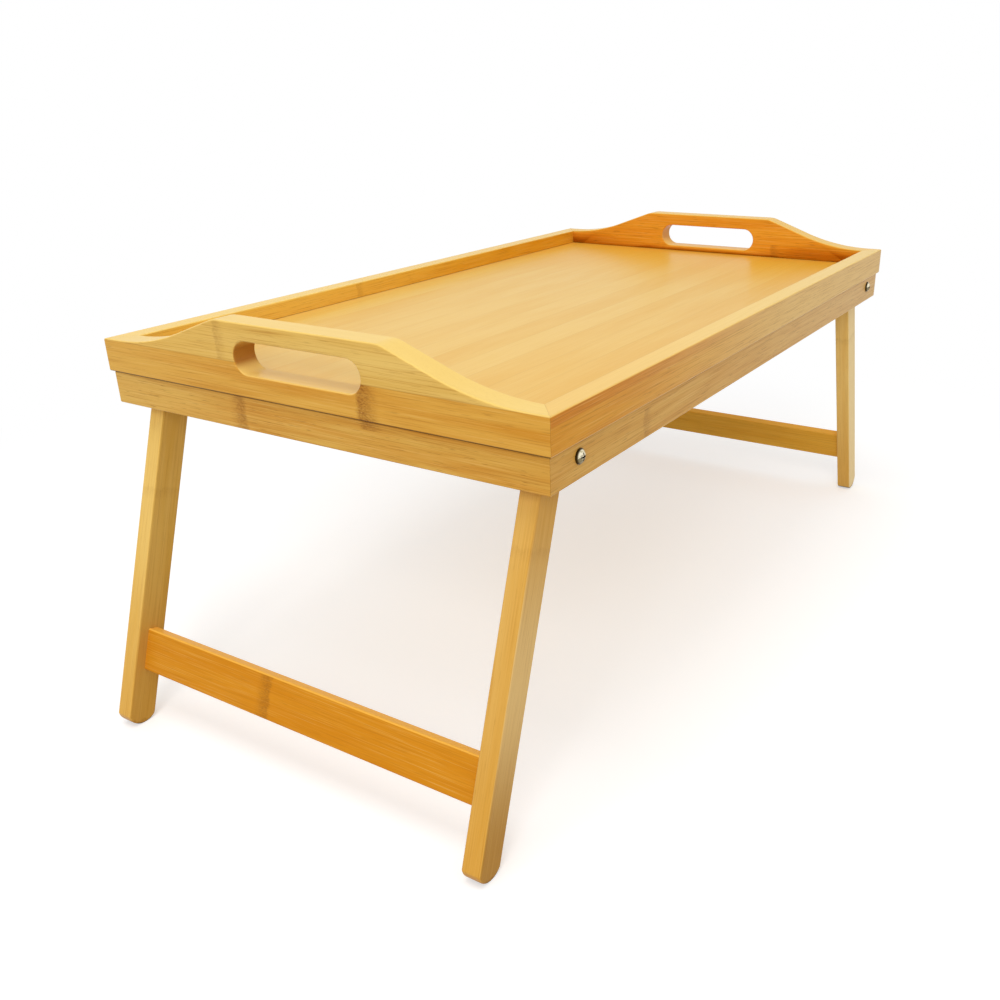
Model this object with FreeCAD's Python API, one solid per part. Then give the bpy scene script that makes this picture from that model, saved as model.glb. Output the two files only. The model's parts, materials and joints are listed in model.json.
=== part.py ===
"""Bamboo bed tray table: a mitred tray with cut-out handles over two folding leg frames.

Units are millimetres. X runs along the tray, Y across it and Z up; the floor is Z = 0 and
the origin is under the middle of the tray. "left" is -X, "right" +X, "front" -Y, "back" +Y.
The table stands on its opened legs, each frame leaning on the lower edge of an end apron.
"""
import FreeCAD
import Part
import math
import os

from FreeCAD import Vector

# --- tray -------------------------------------------------------------------------------
TRAY_LENGTH = 512.0            # over the handle boards
TRAY_WIDTH = 300.0             # over the side rails
RAIL_HEIGHT = 19.0             # side rails, and the handle boards at their ends
RAIL_THICKNESS = 12.5
HANDLE_BOARD_THICKNESS = 15.0
HANDLE_RISE = 20.5             # the grip stands this far above the side rails
HANDLE_INSET = 93.75           # side of the tray to the level top of the grip
HANDLE_SLOPE_DEG = 20.0        # shoulders fall away from the grip at this angle
HANDLE_SWEEP_RADIUS = 155.0    # hollow curve that runs the shoulder out to the corner
HANDLE_CROWN_RADIUS = 20.0     # rounding between grip and shoulder
SLOT_LENGTH = 86.5             # hand hole, with half-round ends
SLOT_HEIGHT = 17.5
GRIP_BAR_HEIGHT = 9.5          # wood left above the hand hole
RIM_EASE = 1.0                 # sanded edges of rails and handle boards

# --- panel in its groove ----------------------------------------------------------------
PANEL_THICKNESS = 3.7
PANEL_DROP = 10.7              # from the top of the rails down to the tray surface
GROOVE_DEPTH = 4.0
GROOVE_HEADROOM = 0.3          # gap above the panel, the dark line seen round it
PANEL_EDGE_GAP = 0.5           # room for the panel to swell in the groove

# --- apron frame under the tray ---------------------------------------------------------
APRON_HEIGHT = 19.0
APRON_THICKNESS = 11.5
APRON_SETBACK = 1.75           # the rim overhangs the apron by this much
APRON_EASE = 0.9

# --- leg frames -------------------------------------------------------------------------
LEG_WIDTH = 18.0
LEG_THICKNESS = 11.5
LEG_REACH = 203.0              # pivot to the centre of the foot's arc
LEG_EASE = 1.2
SPLAY_DEG = 19.0               # opened legs lean outwards this far from upright
STOP_GAP = 0.2                 # opened leg to the apron edge that it leans on
FOLD_CLEARANCE = 3.0           # folded leg to the underside of the panel
FOOT_ARC_RADIUS = 10.0
FOOT_CORNER_RADIUS = 2.0
FOOT_FLAT_DEPTH = 0.4          # worn flat where the foot's arc meets the floor
STRETCHER_HEIGHT = 25.7
STRETCHER_THICKNESS = 7.0
STRETCHER_SETBACK = 6.5         # outer face of the leg to the outer face of the stretcher
STRETCHER_LIFT = 25.2          # up the leg, from the foot's centre to the stretcher
STRETCHER_EASE = 1.0

# --- pivot hardware ---------------------------------------------------------------------
BOLT_DIAMETER = 3.5
BOLT_HEAD_DIAMETER = 7.8
BOLT_HEAD_HEIGHT = 2.6
BOLT_HEAD_SIDE = 0.6           # straight side of the head under its dome
BOLT_END = 0.6                 # thread left showing past the nut
RUNNING_CLEARANCE = 0.05       # radial, bolt in its holes and rings
AXIAL_PLAY = 0.1               # either side of the leg
SPACER_DIAMETER = 9.0
SPACER_THICKNESS = 0.5
NUT_WASHER_DIAMETER = 8.0
NUT_WASHER_THICKNESS = 0.8
NUT_FLATS = 6.0                # across the flats
NUT_HEX_HEIGHT = 3.2
NUT_COLLAR_HEIGHT = 1.3
NUT_COLLAR_WALL = 0.8
CROSS_WIDTH = 0.8              # cross recess in every screw head
CROSS_DEPTH = 1.1

# --- joinery ----------------------------------------------------------------------------
SCREW_LENGTH = 26.0            # countersunk, up through the apron into the rim
SCREW_DIAMETER = 2.5
SCREW_HEAD_DIAMETER = 5.2
SCREW_TIP = 3.0
SCREW_INSET = 4.25             # from the apron's outer face
SIDE_SCREW_SPACING = 150.0
END_SCREW_SPACING = 160.0
CORNER_DOWEL_DIAMETER = 4.0
CORNER_DOWEL_LENGTH = 9.0
RIM_DOWEL_DROP = 5.0           # below the top of the rails, above the groove
STRETCHER_DOWEL_DIAMETER = 3.5
STRETCHER_DOWEL_LENGTH = 16.0
STRETCHER_DOWEL_SPACING = 12.0
JOINT_CLEARANCE = 0.05         # radial, round dowels and screws
DOWEL_END_GAP = 0.3            # glue room at the ends of a dowel

# --- worked out from the above ----------------------------------------------------------
HALF_LENGTH = TRAY_LENGTH / 2
HALF_WIDTH = TRAY_WIDTH / 2
SPLAY = math.radians(SPLAY_DEG)
OVERCUT = 5.0                  # how far a cutting tool runs past what it cuts

FOOT_CENTRE_Z = FOOT_ARC_RADIUS - FOOT_FLAT_DEPTH
PIVOT_Z = FOOT_CENTRE_Z + LEG_REACH * math.cos(SPLAY)
PANEL_BOTTOM = PIVOT_Z + LEG_WIDTH / 2 + FOLD_CLEARANCE
PANEL_TOP = PANEL_BOTTOM + PANEL_THICKNESS
RAIL_TOP = PANEL_TOP + PANEL_DROP
RIM_BOTTOM = RAIL_TOP - RAIL_HEIGHT
APRON_BOTTOM = RIM_BOTTOM - APRON_HEIGHT
HANDLE_TOP = RAIL_TOP + HANDLE_RISE
SLOT_CENTRE_Z = HANDLE_TOP - GRIP_BAR_HEIGHT - SLOT_HEIGHT / 2

APRON_HALF_LENGTH = HALF_LENGTH - APRON_SETBACK
APRON_HALF_WIDTH = HALF_WIDTH - APRON_SETBACK
APRON_INNER_X = APRON_HALF_LENGTH - APRON_THICKNESS
APRON_INNER_Y = APRON_HALF_WIDTH - APRON_THICKNESS

# The opened leg's outer face rests against the rounded lower edge of the end apron.
STOP_EDGE_Z = APRON_BOTTOM + APRON_EASE - PIVOT_Z
STOP_REACH = LEG_WIDTH / 2 + STOP_GAP + APRON_EASE
STOP_RUN = (STOP_REACH - STOP_EDGE_Z * math.sin(SPLAY)) / math.cos(SPLAY)
PIVOT_X = APRON_INNER_X + APRON_EASE - STOP_RUN

LEG_OUTER_Y = APRON_INNER_Y - SPACER_THICKNESS - AXIAL_PLAY
LEG_INNER_Y = LEG_OUTER_Y - LEG_THICKNESS
NUT_WASHER_Y = LEG_INNER_Y - AXIAL_PLAY
NUT_Y = NUT_WASHER_Y - NUT_WASHER_THICKNESS
NUT_HEIGHT = NUT_HEX_HEIGHT + NUT_COLLAR_HEIGHT
BOLT_TIP_Y = NUT_Y - NUT_HEIGHT - BOLT_END
BORE_RADIUS = BOLT_DIAMETER / 2 + RUNNING_CLEARANCE
STRETCHER_CENTRE = LEG_REACH - STRETCHER_LIFT - STRETCHER_HEIGHT / 2
STRETCHER_OUTER = LEG_WIDTH / 2 - STRETCHER_SETBACK

UP = Vector(0, 0, 1)
ALONG = Vector(1, 0, 0)
ACROSS = Vector(0, 1, 0)
ENDS = {"left": -1, "right": 1}
SIDES = {"front": -1, "back": 1}
SAME_POINT = 1e-6              # points closer than this are one point
ON_PLANE = 1e-4                # an edge this close to a plane lies on it

# --- small helpers ----------------------------------------------------------------------
def block(low, high):
    """Box between two opposite corners."""
    size = [top - bottom for bottom, top in zip(low, high)]
    return Part.makeBox(*size, Vector(*low))


def rod(start, direction, radius, length):
    """Cylinder from a point along a direction."""
    return Part.makeCylinder(radius, length, start, direction)


def ring(start, direction, outer_radius, bore_radius, length):
    """Flat ring from a point along a direction."""
    return rod(start, direction, outer_radius, length).cut(rod(start, direction, bore_radius, length))


def rounded_wire(corners, to_space):
    """Closed wire through (u, v, radius) corners, each rounded by its own radius."""
    count = len(corners)
    points = [Vector(u, v, 0) for u, v, _ in corners]
    entries, middles, exits = [], [], []
    for index, (corner, (_, _, radius)) in enumerate(zip(points, corners)):
        back = (points[index - 1] - corner).normalize()
        ahead = (points[(index + 1) % count] - corner).normalize()
        half_angle = back.getAngle(ahead) / 2
        tangent = radius / math.tan(half_angle)
        entries.append(corner + back * tangent)
        exits.append(corner + ahead * tangent)
        bisector = (back + ahead).normalize()
        middles.append(corner + bisector * (radius / math.sin(half_angle) - radius))
    edges = []
    for index, (_, _, radius) in enumerate(corners):
        start, end = to_space(entries[index]), to_space(exits[index])
        if radius > 0:
            edges.append(Part.Arc(start, to_space(middles[index]), end).toShape())
        following = to_space(entries[(index + 1) % count])
        if end.distanceToPoint(following) > SAME_POINT:
            edges.append(Part.LineSegment(end, following).toShape())
    return Part.Wire(edges)


def in_cross_plane(x):
    """Map outline (u, v) to (Y, Z) at the given X."""
    return lambda point: Vector(x, point.x, point.y)


def in_long_plane(y):
    """Map outline (u, v) to (X, Z) at the given Y."""
    return lambda point: Vector(point.x, y, point.y)


def in_plan(z):
    """Map outline (u, v) to (X, Y) at the given Z."""
    return lambda point: Vector(point.x, point.y, z)


def prism(corners, to_space, extrusion):
    """Solid of a rounded outline pushed along a vector."""
    return Part.Face(rounded_wire(corners, to_space)).extrude(extrusion)


def edges_on_plane(shape, axis, value):
    """Edges that lie wholly on the plane where one coordinate (0, 1 or 2) has a value."""
    return [edge for edge in shape.Edges
            if all(abs(vertex.Point[axis] - value) < ON_PLANE for vertex in edge.Vertexes)
            and abs(edge.CenterOfMass[axis] - value) < ON_PLANE]


def mirrored(shape, side_x=1, side_y=1):
    """Copy of a +X +Y shape, reflected to the wanted end and side."""
    result = shape.copy()
    if side_x < 0:
        result = result.mirror(Vector(0, 0, 0), ALONG)
    if side_y < 0:
        result = result.mirror(Vector(0, 0, 0), ACROSS)
    return result


def mitred_end_plan(half_length, half_width, end_thickness, side_thickness, bottom, height):
    """Plan prism of the +X board of a mitred frame, run past the faces it trims."""
    reach = OVERCUT / min(end_thickness, side_thickness)
    outer = (half_length + reach * end_thickness, half_width + reach * side_thickness)
    inner = (half_length - (1 + reach) * end_thickness, half_width - (1 + reach) * side_thickness)
    corners = [(inner[0], -inner[1], 0), (outer[0], -outer[1], 0),
               (outer[0], outer[1], 0), (inner[0], inner[1], 0)]
    return prism(corners, in_plan(bottom), UP * height)


def mitred_side_plan(half_length, half_width, end_thickness, side_thickness, bottom, height):
    """Plan prism of the +Y board of a mitred frame, run past the faces it trims."""
    reach = OVERCUT / min(end_thickness, side_thickness)
    outer = (half_length + reach * end_thickness, half_width + reach * side_thickness)
    inner = (half_length - (1 + reach) * end_thickness, half_width - (1 + reach) * side_thickness)
    corners = [(-outer[0], outer[1], 0), (-inner[0], inner[1], 0),
               (inner[0], inner[1], 0), (outer[0], outer[1], 0)]
    return prism(corners, in_plan(bottom), UP * height)


def cross_recess(head_face, inward, sideways, reach):
    """Cutting tool for a cross recess: two crossed bars sunk into a head."""
    up = inward.cross(sideways)
    bars = []
    for run, width in ((sideways, up), (up, sideways)):
        corner = head_face - run * reach - width * (CROSS_WIDTH / 2) - inward * CROSS_DEPTH
        edges = Part.makePolygon([corner, corner + run * 2 * reach,
                                  corner + run * 2 * reach + width * CROSS_WIDTH,
                                  corner + width * CROSS_WIDTH, corner])
        bars.append(Part.Face(edges).extrude(inward * 2 * CROSS_DEPTH))
    return bars[0].fuse(bars[1])


# --- tray rim ---------------------------------------------------------------------------
def panel_pocket():
    """Room that the groove round the rim leaves for the panel."""
    half_x = HALF_LENGTH - HANDLE_BOARD_THICKNESS + GROOVE_DEPTH
    half_y = HALF_WIDTH - RAIL_THICKNESS + GROOVE_DEPTH
    top = PANEL_TOP + GROOVE_HEADROOM
    return block((-half_x, -half_y, PANEL_BOTTOM), (half_x, half_y, top))


def side_rail():
    """Back side rail: a rounded strip, grooved inside and mitred at both ends."""
    inner = HALF_WIDTH - RAIL_THICKNESS
    section = [(inner, RIM_BOTTOM, 0), (HALF_WIDTH, RIM_BOTTOM, RIM_EASE),
               (HALF_WIDTH, RAIL_TOP, RIM_EASE), (inner, RAIL_TOP, RIM_EASE)]
    strip = prism(section, in_cross_plane(-HALF_LENGTH), ALONG * TRAY_LENGTH)
    plan = mitred_side_plan(HALF_LENGTH, HALF_WIDTH, HANDLE_BOARD_THICKNESS, RAIL_THICKNESS,
                            RIM_BOTTOM - OVERCUT, RAIL_HEIGHT + 2 * OVERCUT)
    return strip.common(plan)


def handle_outline():
    """Corners of the handle board, from the lower front corner round to the lower back one."""
    slope = math.radians(HANDLE_SLOPE_DEG)
    crown = HALF_WIDTH - HANDLE_INSET
    foot = crown + HANDLE_RISE / math.tan(slope)
    # The hollow curve ends on the board: short of its corner and of the grip's rounding.
    share = math.tan(slope / 2)    # what each millimetre of radius takes off a straight
    shoulder = HANDLE_RISE / math.sin(slope) - HANDLE_CROWN_RADIUS * share
    sweep = min(HANDLE_SWEEP_RADIUS, shoulder / share, (HALF_WIDTH - RIM_EASE - foot) / share)
    half = [(HALF_WIDTH, RIM_BOTTOM, 0), (HALF_WIDTH, RAIL_TOP, 0),
            (foot, RAIL_TOP, sweep), (crown, HANDLE_TOP, HANDLE_CROWN_RADIUS)]
    other_half = [(-u, v, radius) for u, v, radius in reversed(half)]
    return half + other_half


def handle_board():
    """Right handle board: swept top, hand hole with eased edges, mitred ends."""
    outer = HALF_LENGTH
    inner = HALF_LENGTH - HANDLE_BOARD_THICKNESS
    board = prism(handle_outline(), in_cross_plane(inner), ALONG * HANDLE_BOARD_THICKNESS)
    end_radius = SLOT_HEIGHT / 2
    low, high = SLOT_CENTRE_Z - end_radius, SLOT_CENTRE_Z + end_radius
    middle = SLOT_LENGTH / 2 - end_radius
    slot = block((inner - OVERCUT, -middle, low), (outer + OVERCUT, middle, high))
    for y in (-middle, middle):
        start = Vector(inner - OVERCUT, y, SLOT_CENTRE_Z)
        slot = slot.fuse(rod(start, ALONG, end_radius, HANDLE_BOARD_THICKNESS + 2 * OVERCUT))
    board = board.cut(slot.removeSplitter())
    eased = []
    for face_x in (inner, outer):
        for edge in edges_on_plane(board, 0, face_x):
            middle_z = edge.CenterOfMass.z
            is_upright_end = abs(abs(edge.CenterOfMass.y) - HALF_WIDTH) < ON_PLANE
            is_inner_foot = face_x == inner and middle_z < RIM_BOTTOM + ON_PLANE
            if not is_upright_end and not is_inner_foot:
                eased.append(edge)
    board = board.makeFillet(RIM_EASE, eased)
    plan = mitred_end_plan(HALF_LENGTH, HALF_WIDTH, HANDLE_BOARD_THICKNESS, RAIL_THICKNESS,
                           RIM_BOTTOM - OVERCUT, HANDLE_TOP - RIM_BOTTOM + 2 * OVERCUT)
    return board.common(plan)


def tray_panel():
    """Thin board held in the rim's groove, resting on its lower lip."""
    half_x = HALF_LENGTH - HANDLE_BOARD_THICKNESS + GROOVE_DEPTH - PANEL_EDGE_GAP
    half_y = HALF_WIDTH - RAIL_THICKNESS + GROOVE_DEPTH - PANEL_EDGE_GAP
    return block((-half_x, -half_y, PANEL_BOTTOM), (half_x, half_y, PANEL_TOP))


# --- apron frame ------------------------------------------------------------------------
def apron_section(outer, inner):
    """Rounded section of an apron strip between its outer and inner faces."""
    return [(inner, APRON_BOTTOM, APRON_EASE), (outer, APRON_BOTTOM, APRON_EASE),
            (outer, RIM_BOTTOM, APRON_EASE), (inner, RIM_BOTTOM, 0)]


def side_apron():
    """Back side apron, mitred, with its pivot holes."""
    strip = prism(apron_section(APRON_HALF_WIDTH, APRON_INNER_Y),
                  in_cross_plane(-APRON_HALF_LENGTH), ALONG * 2 * APRON_HALF_LENGTH)
    plan = mitred_side_plan(APRON_HALF_LENGTH, APRON_HALF_WIDTH, APRON_THICKNESS, APRON_THICKNESS,
                            APRON_BOTTOM - OVERCUT, APRON_HEIGHT + 2 * OVERCUT)
    apron = strip.common(plan)
    for x in (-PIVOT_X, PIVOT_X):
        inside = Vector(x, APRON_INNER_Y - OVERCUT, PIVOT_Z)
        apron = apron.cut(rod(inside, ACROSS, BORE_RADIUS, APRON_THICKNESS + 2 * OVERCUT))
    return apron


def end_apron():
    """Right end apron, mitred; the opened legs lean on its lower inner edge."""
    section = apron_section(APRON_HALF_LENGTH, APRON_INNER_X)
    strip = prism(section, in_long_plane(-APRON_HALF_WIDTH), ACROSS * 2 * APRON_HALF_WIDTH)
    plan = mitred_end_plan(APRON_HALF_LENGTH, APRON_HALF_WIDTH, APRON_THICKNESS, APRON_THICKNESS,
                           APRON_BOTTOM - OVERCUT, APRON_HEIGHT + 2 * OVERCUT)
    return strip.common(plan)


# --- dowels and screws of the two frames ------------------------------------------------
def corner_dowel(half_length, half_width, end_thickness, side_thickness, z, grow=0.0, lengthen=0.0):
    """Dowel square across the +X +Y mitre of a frame, or the hole for it."""
    centre = Vector(half_length - end_thickness / 2, half_width - side_thickness / 2, z)
    across_mitre = Vector(side_thickness, -end_thickness, 0).normalize()
    length = CORNER_DOWEL_LENGTH + 2 * lengthen
    start = centre - across_mitre * (length / 2)
    return rod(start, across_mitre, CORNER_DOWEL_DIAMETER / 2 + grow, length)


def rim_dowel(grow=0.0, lengthen=0.0):
    """Dowel of the rim's +X +Y corner, above the panel groove."""
    return corner_dowel(HALF_LENGTH, HALF_WIDTH, HANDLE_BOARD_THICKNESS, RAIL_THICKNESS,
                        RAIL_TOP - RIM_DOWEL_DROP, grow, lengthen)


def apron_dowel(grow=0.0, lengthen=0.0):
    """Dowel of the apron frame's +X +Y corner, at mid height."""
    return corner_dowel(APRON_HALF_LENGTH, APRON_HALF_WIDTH, APRON_THICKNESS, APRON_THICKNESS,
                        APRON_BOTTOM + APRON_HEIGHT / 2, grow, lengthen)


def on_every_corner(shape):
    """The four reflections of a +X +Y shape."""
    return [mirrored(shape, x, y) for x in ENDS.values() for y in SIDES.values()]


def screw_places():
    """Where the apron screws stand: along both sides, then along both ends."""
    side_y = APRON_HALF_WIDTH - SCREW_INSET
    end_x = APRON_HALF_LENGTH - SCREW_INSET
    places = [(column * SIDE_SCREW_SPACING, side * side_y)
              for side in SIDES.values() for column in (-1, 0, 1)]
    places += [(end * end_x, row * END_SCREW_SPACING / 2) for end in ENDS.values() for row in (-1, 1)]
    return [Vector(x, y, APRON_BOTTOM) for x, y in places]


def screw_body(place, grow=0.0):
    """Countersunk wood screw pointing up from a place, or the hole for it."""
    head_radius = SCREW_HEAD_DIAMETER / 2 + grow
    shank_radius = SCREW_DIAMETER / 2 + grow
    head_height = head_radius - shank_radius
    straight = SCREW_LENGTH - SCREW_TIP
    head = Part.makeCone(head_radius, shank_radius, head_height, place, UP)
    shank = rod(place, UP, shank_radius, straight)
    tip = Part.makeCone(shank_radius, 0, SCREW_TIP + grow, place + UP * straight, UP)
    return head.fuse([shank, tip]).removeSplitter()


def apron_screw(place):
    """One wood screw with its cross recess."""
    recess = cross_recess(place, UP, ALONG, SCREW_HEAD_DIAMETER / 4)
    return screw_body(place).cut(recess)


def screw_holes():
    """Holes for all the apron screws."""
    return [screw_body(place, JOINT_CLEARANCE) for place in screw_places()]


# --- leg frames -------------------------------------------------------------------------
def opened(shape):
    """Turn a leg-frame shape from hanging plumb under its pivot to the opened splay."""
    result = shape.copy()
    result.rotate(Vector(0, 0, 0), ACROSS, -SPLAY_DEG)
    result.translate(Vector(PIVOT_X, 0, PIVOT_Z))
    return result


def stretcher_dowels(grow=0.0, lengthen=0.0):
    """Two dowels from the back leg's inner face into the right frame's stretcher, plumb."""
    x = STRETCHER_OUTER - STRETCHER_THICKNESS / 2
    length = STRETCHER_DOWEL_LENGTH + 2 * lengthen
    start_y = LEG_INNER_Y - length / 2
    radius = STRETCHER_DOWEL_DIAMETER / 2 + grow
    return [rod(Vector(x, start_y, -STRETCHER_CENTRE + row * STRETCHER_DOWEL_SPACING / 2),
                ACROSS, radius, length) for row in (-1, 1)]


def leg():
    """Back right leg: round top at the pivot, arched foot with a small flat."""
    half = LEG_WIDTH / 2
    arc_start = LEG_REACH + math.sqrt(FOOT_ARC_RADIUS ** 2 - half ** 2)
    place = in_long_plane(LEG_INNER_Y)
    corner = {name: place(Vector(u, v, 0)) for name, u, v in (
        ("top_right", half, 0), ("top", 0, half), ("top_left", -half, 0),
        ("foot_left", -half, -arc_start), ("foot", 0, -LEG_REACH - FOOT_ARC_RADIUS),
        ("foot_right", half, -arc_start))}
    outline = Part.Wire([
        Part.Arc(corner["top_right"], corner["top"], corner["top_left"]).toShape(),
        Part.LineSegment(corner["top_left"], corner["foot_left"]).toShape(),
        Part.Arc(corner["foot_left"], corner["foot"], corner["foot_right"]).toShape(),
        Part.LineSegment(corner["foot_right"], corner["top_right"]).toShape()])
    body = Part.Face(outline).extrude(ACROSS * LEG_THICKNESS)
    foot_corners = [edge for edge in body.Edges
                    if abs(edge.CenterOfMass.z + arc_start) < ON_PLANE
                    and abs(abs(edge.CenterOfMass.x) - half) < ON_PLANE]
    body = body.makeFillet(FOOT_CORNER_RADIUS, foot_corners)
    face_edges = edges_on_plane(body, 1, LEG_INNER_Y) + edges_on_plane(body, 1, LEG_OUTER_Y)
    body = body.makeFillet(LEG_EASE, face_edges)
    bore_start = Vector(0, LEG_INNER_Y - OVERCUT, 0)
    body = body.cut(rod(bore_start, ACROSS, BORE_RADIUS, LEG_THICKNESS + 2 * OVERCUT))
    for hole in stretcher_dowels(JOINT_CLEARANCE, DOWEL_END_GAP):
        body = body.cut(hole)
    body = opened(body)
    far = HALF_LENGTH + LEG_REACH
    below_floor = block((0, -HALF_WIDTH, -FOOT_ARC_RADIUS), (far, HALF_WIDTH, 0))
    return body.cut(below_floor)


def stretcher():
    """Right stretcher between the two legs, set back from their outward faces."""
    half_height = STRETCHER_HEIGHT / 2
    near, far = STRETCHER_OUTER - STRETCHER_THICKNESS, STRETCHER_OUTER
    section = [(x, -STRETCHER_CENTRE + side * half_height, STRETCHER_EASE)
               for x, side in ((near, -1), (far, -1), (far, 1), (near, 1))]
    bar = prism(section, in_long_plane(-LEG_INNER_Y), ACROSS * 2 * LEG_INNER_Y)
    for hole in stretcher_dowels(JOINT_CLEARANCE, DOWEL_END_GAP):
        bar = bar.cut(hole).cut(mirrored(hole, side_y=-1))
    return opened(bar)


def stretcher_dowel_set():
    """The four dowels of the right frame's stretcher."""
    back = stretcher_dowels()
    front = [mirrored(dowel, side_y=-1) for dowel in back]
    return [opened(dowel) for dowel in back + front]


# --- pivot hardware, back right ---------------------------------------------------------
def pivot_bolt():
    """Machine screw through apron and leg: domed head with a cross recess."""
    radius = BOLT_HEAD_DIAMETER / 2
    dome_height = BOLT_HEAD_HEIGHT - BOLT_HEAD_SIDE
    sphere_radius = (radius ** 2 + dome_height ** 2) / (2 * dome_height)
    seat = Vector(PIVOT_X, APRON_HALF_WIDTH, PIVOT_Z)
    sphere_centre = seat + ACROSS * (BOLT_HEAD_HEIGHT - sphere_radius)
    dome = Part.makeSphere(sphere_radius, sphere_centre)
    head = rod(seat, ACROSS, radius, BOLT_HEAD_HEIGHT).common(dome)
    shank_length = APRON_HALF_WIDTH - BOLT_TIP_Y
    shank = rod(Vector(PIVOT_X, BOLT_TIP_Y, PIVOT_Z), ACROSS, BOLT_DIAMETER / 2, shank_length)
    shank = shank.makeChamfer(BOLT_END / 2, edges_on_plane(shank, 1, BOLT_TIP_Y))
    crown = seat + ACROSS * BOLT_HEAD_HEIGHT
    return head.fuse(shank).cut(cross_recess(crown, ACROSS * -1, ALONG, BOLT_HEAD_DIAMETER / 4))


def leg_spacer():
    """Thin plastic ring between the apron and the leg."""
    start = Vector(PIVOT_X, APRON_INNER_Y - SPACER_THICKNESS, PIVOT_Z)
    return ring(start, ACROSS, SPACER_DIAMETER / 2, BORE_RADIUS, SPACER_THICKNESS)


def nut_washer():
    """Steel washer between the leg and the nut."""
    start = Vector(PIVOT_X, NUT_Y, PIVOT_Z)
    return ring(start, ACROSS, NUT_WASHER_DIAMETER / 2, BORE_RADIUS, NUT_WASHER_THICKNESS)


def lock_nut():
    """Hexagon nut with the raised collar that grips the thread."""
    corner_radius = NUT_FLATS / math.sqrt(3)
    corners = []
    for step in range(6):
        angle = math.radians(60 * step)
        corners.append((PIVOT_X + corner_radius * math.cos(angle),
                        PIVOT_Z + corner_radius * math.sin(angle), 0))
    nut = prism(corners, in_long_plane(NUT_Y - NUT_HEX_HEIGHT), ACROSS * NUT_HEX_HEIGHT)
    start = Vector(PIVOT_X, NUT_Y - NUT_HEIGHT, PIVOT_Z)
    collar = rod(start, ACROSS, BOLT_DIAMETER / 2 + NUT_COLLAR_WALL, NUT_HEIGHT)
    nut = nut.fuse(collar).removeSplitter()
    return nut.cut(rod(start, ACROSS, BORE_RADIUS, NUT_HEIGHT))


# --- every node -------------------------------------------------------------------------
def cut_all(shape, tools):
    """Shape with every tool taken away that reaches it."""
    for tool in tools:
        if shape.BoundBox.intersect(tool.BoundBox):
            shape = shape.cut(tool)
    return shape


def build_nodes():
    """All sub-parts by node name; a list is a node of several like solids."""
    holes = screw_holes()
    rim_holes = on_every_corner(rim_dowel(JOINT_CLEARANCE, DOWEL_END_GAP))
    apron_holes = on_every_corner(apron_dowel(JOINT_CLEARANCE, DOWEL_END_GAP))
    rim_tools = [panel_pocket()] + rim_holes + holes
    apron_tools = apron_holes + holes

    nodes = {"tray_panel": tray_panel()}
    for end, end_sign in ENDS.items():
        nodes[f"handle_board_{end}"] = cut_all(mirrored(handle_board(), end_sign), rim_tools)
        nodes[f"end_apron_{end}"] = cut_all(mirrored(end_apron(), end_sign), apron_tools)
        nodes[f"stretcher_{end}"] = mirrored(stretcher(), end_sign)
        nodes[f"stretcher_dowels_{end}"] = [mirrored(dowel, end_sign) for dowel in stretcher_dowel_set()]
    for side, side_sign in SIDES.items():
        nodes[f"side_rail_{side}"] = cut_all(mirrored(side_rail(), 1, side_sign), rim_tools)
        nodes[f"side_apron_{side}"] = cut_all(mirrored(side_apron(), 1, side_sign), apron_tools)
    at_pivots = {"leg": leg(), "pivot_bolt": pivot_bolt(), "leg_spacer": leg_spacer(),
                 "nut_washer": nut_washer(), "lock_nut": lock_nut()}
    for name, shape in at_pivots.items():
        for side, side_sign in SIDES.items():
            for end, end_sign in ENDS.items():
                nodes[f"{name}_{side}_{end}"] = mirrored(shape, end_sign, side_sign)
    nodes["rim_corner_dowels"] = on_every_corner(rim_dowel())
    nodes["apron_corner_dowels"] = on_every_corner(apron_dowel())
    nodes["apron_screws"] = [apron_screw(place) for place in screw_places()]
    return nodes


def main():
    """Write one STEP file for each node."""
    os.makedirs("parts", exist_ok=True)
    for name, shape in sorted(build_nodes().items()):
        solids = shape if isinstance(shape, list) else [shape]
        solids = [solid for item in solids for solid in item.Solids]
        whole = solids[0] if len(solids) == 1 else Part.makeCompound(solids)
        if not whole.isValid():
            raise ValueError(f"{name} is not a valid solid")
        whole.exportStep(f"parts/{name}.step")
        box = whole.BoundBox
        print(f"{name}: {len(solids)} solid(s), {whole.Volume:.1f} mm3, "
              f"X {box.XMin:.2f}..{box.XMax:.2f} Y {box.YMin:.2f}..{box.YMax:.2f} "
              f"Z {box.ZMin:.2f}..{box.ZMax:.2f}")
    print(f"pivot at X {PIVOT_X:.3f} Z {PIVOT_Z:.3f}, folds through {90 + SPLAY_DEG:.1f} degrees")


main()
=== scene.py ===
"""Looks of a bamboo bed tray table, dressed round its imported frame.

The lengths written here are millimetres; MM turns them to Blender's metres. X runs along
the tray, Y across it and Z up, as in the frame.
"""

import json
import logging
import math
from dataclasses import dataclass
from enum import Enum
from typing import Any, Callable, Iterable, Mapping, Sequence

import bmesh
import bpy
from bmesh.types import BMesh, BMVert
from bpy.types import Material, Mesh, Node, NodeSocket, NodeTree, Object
from mathutils import Euler, Matrix, Vector


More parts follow.
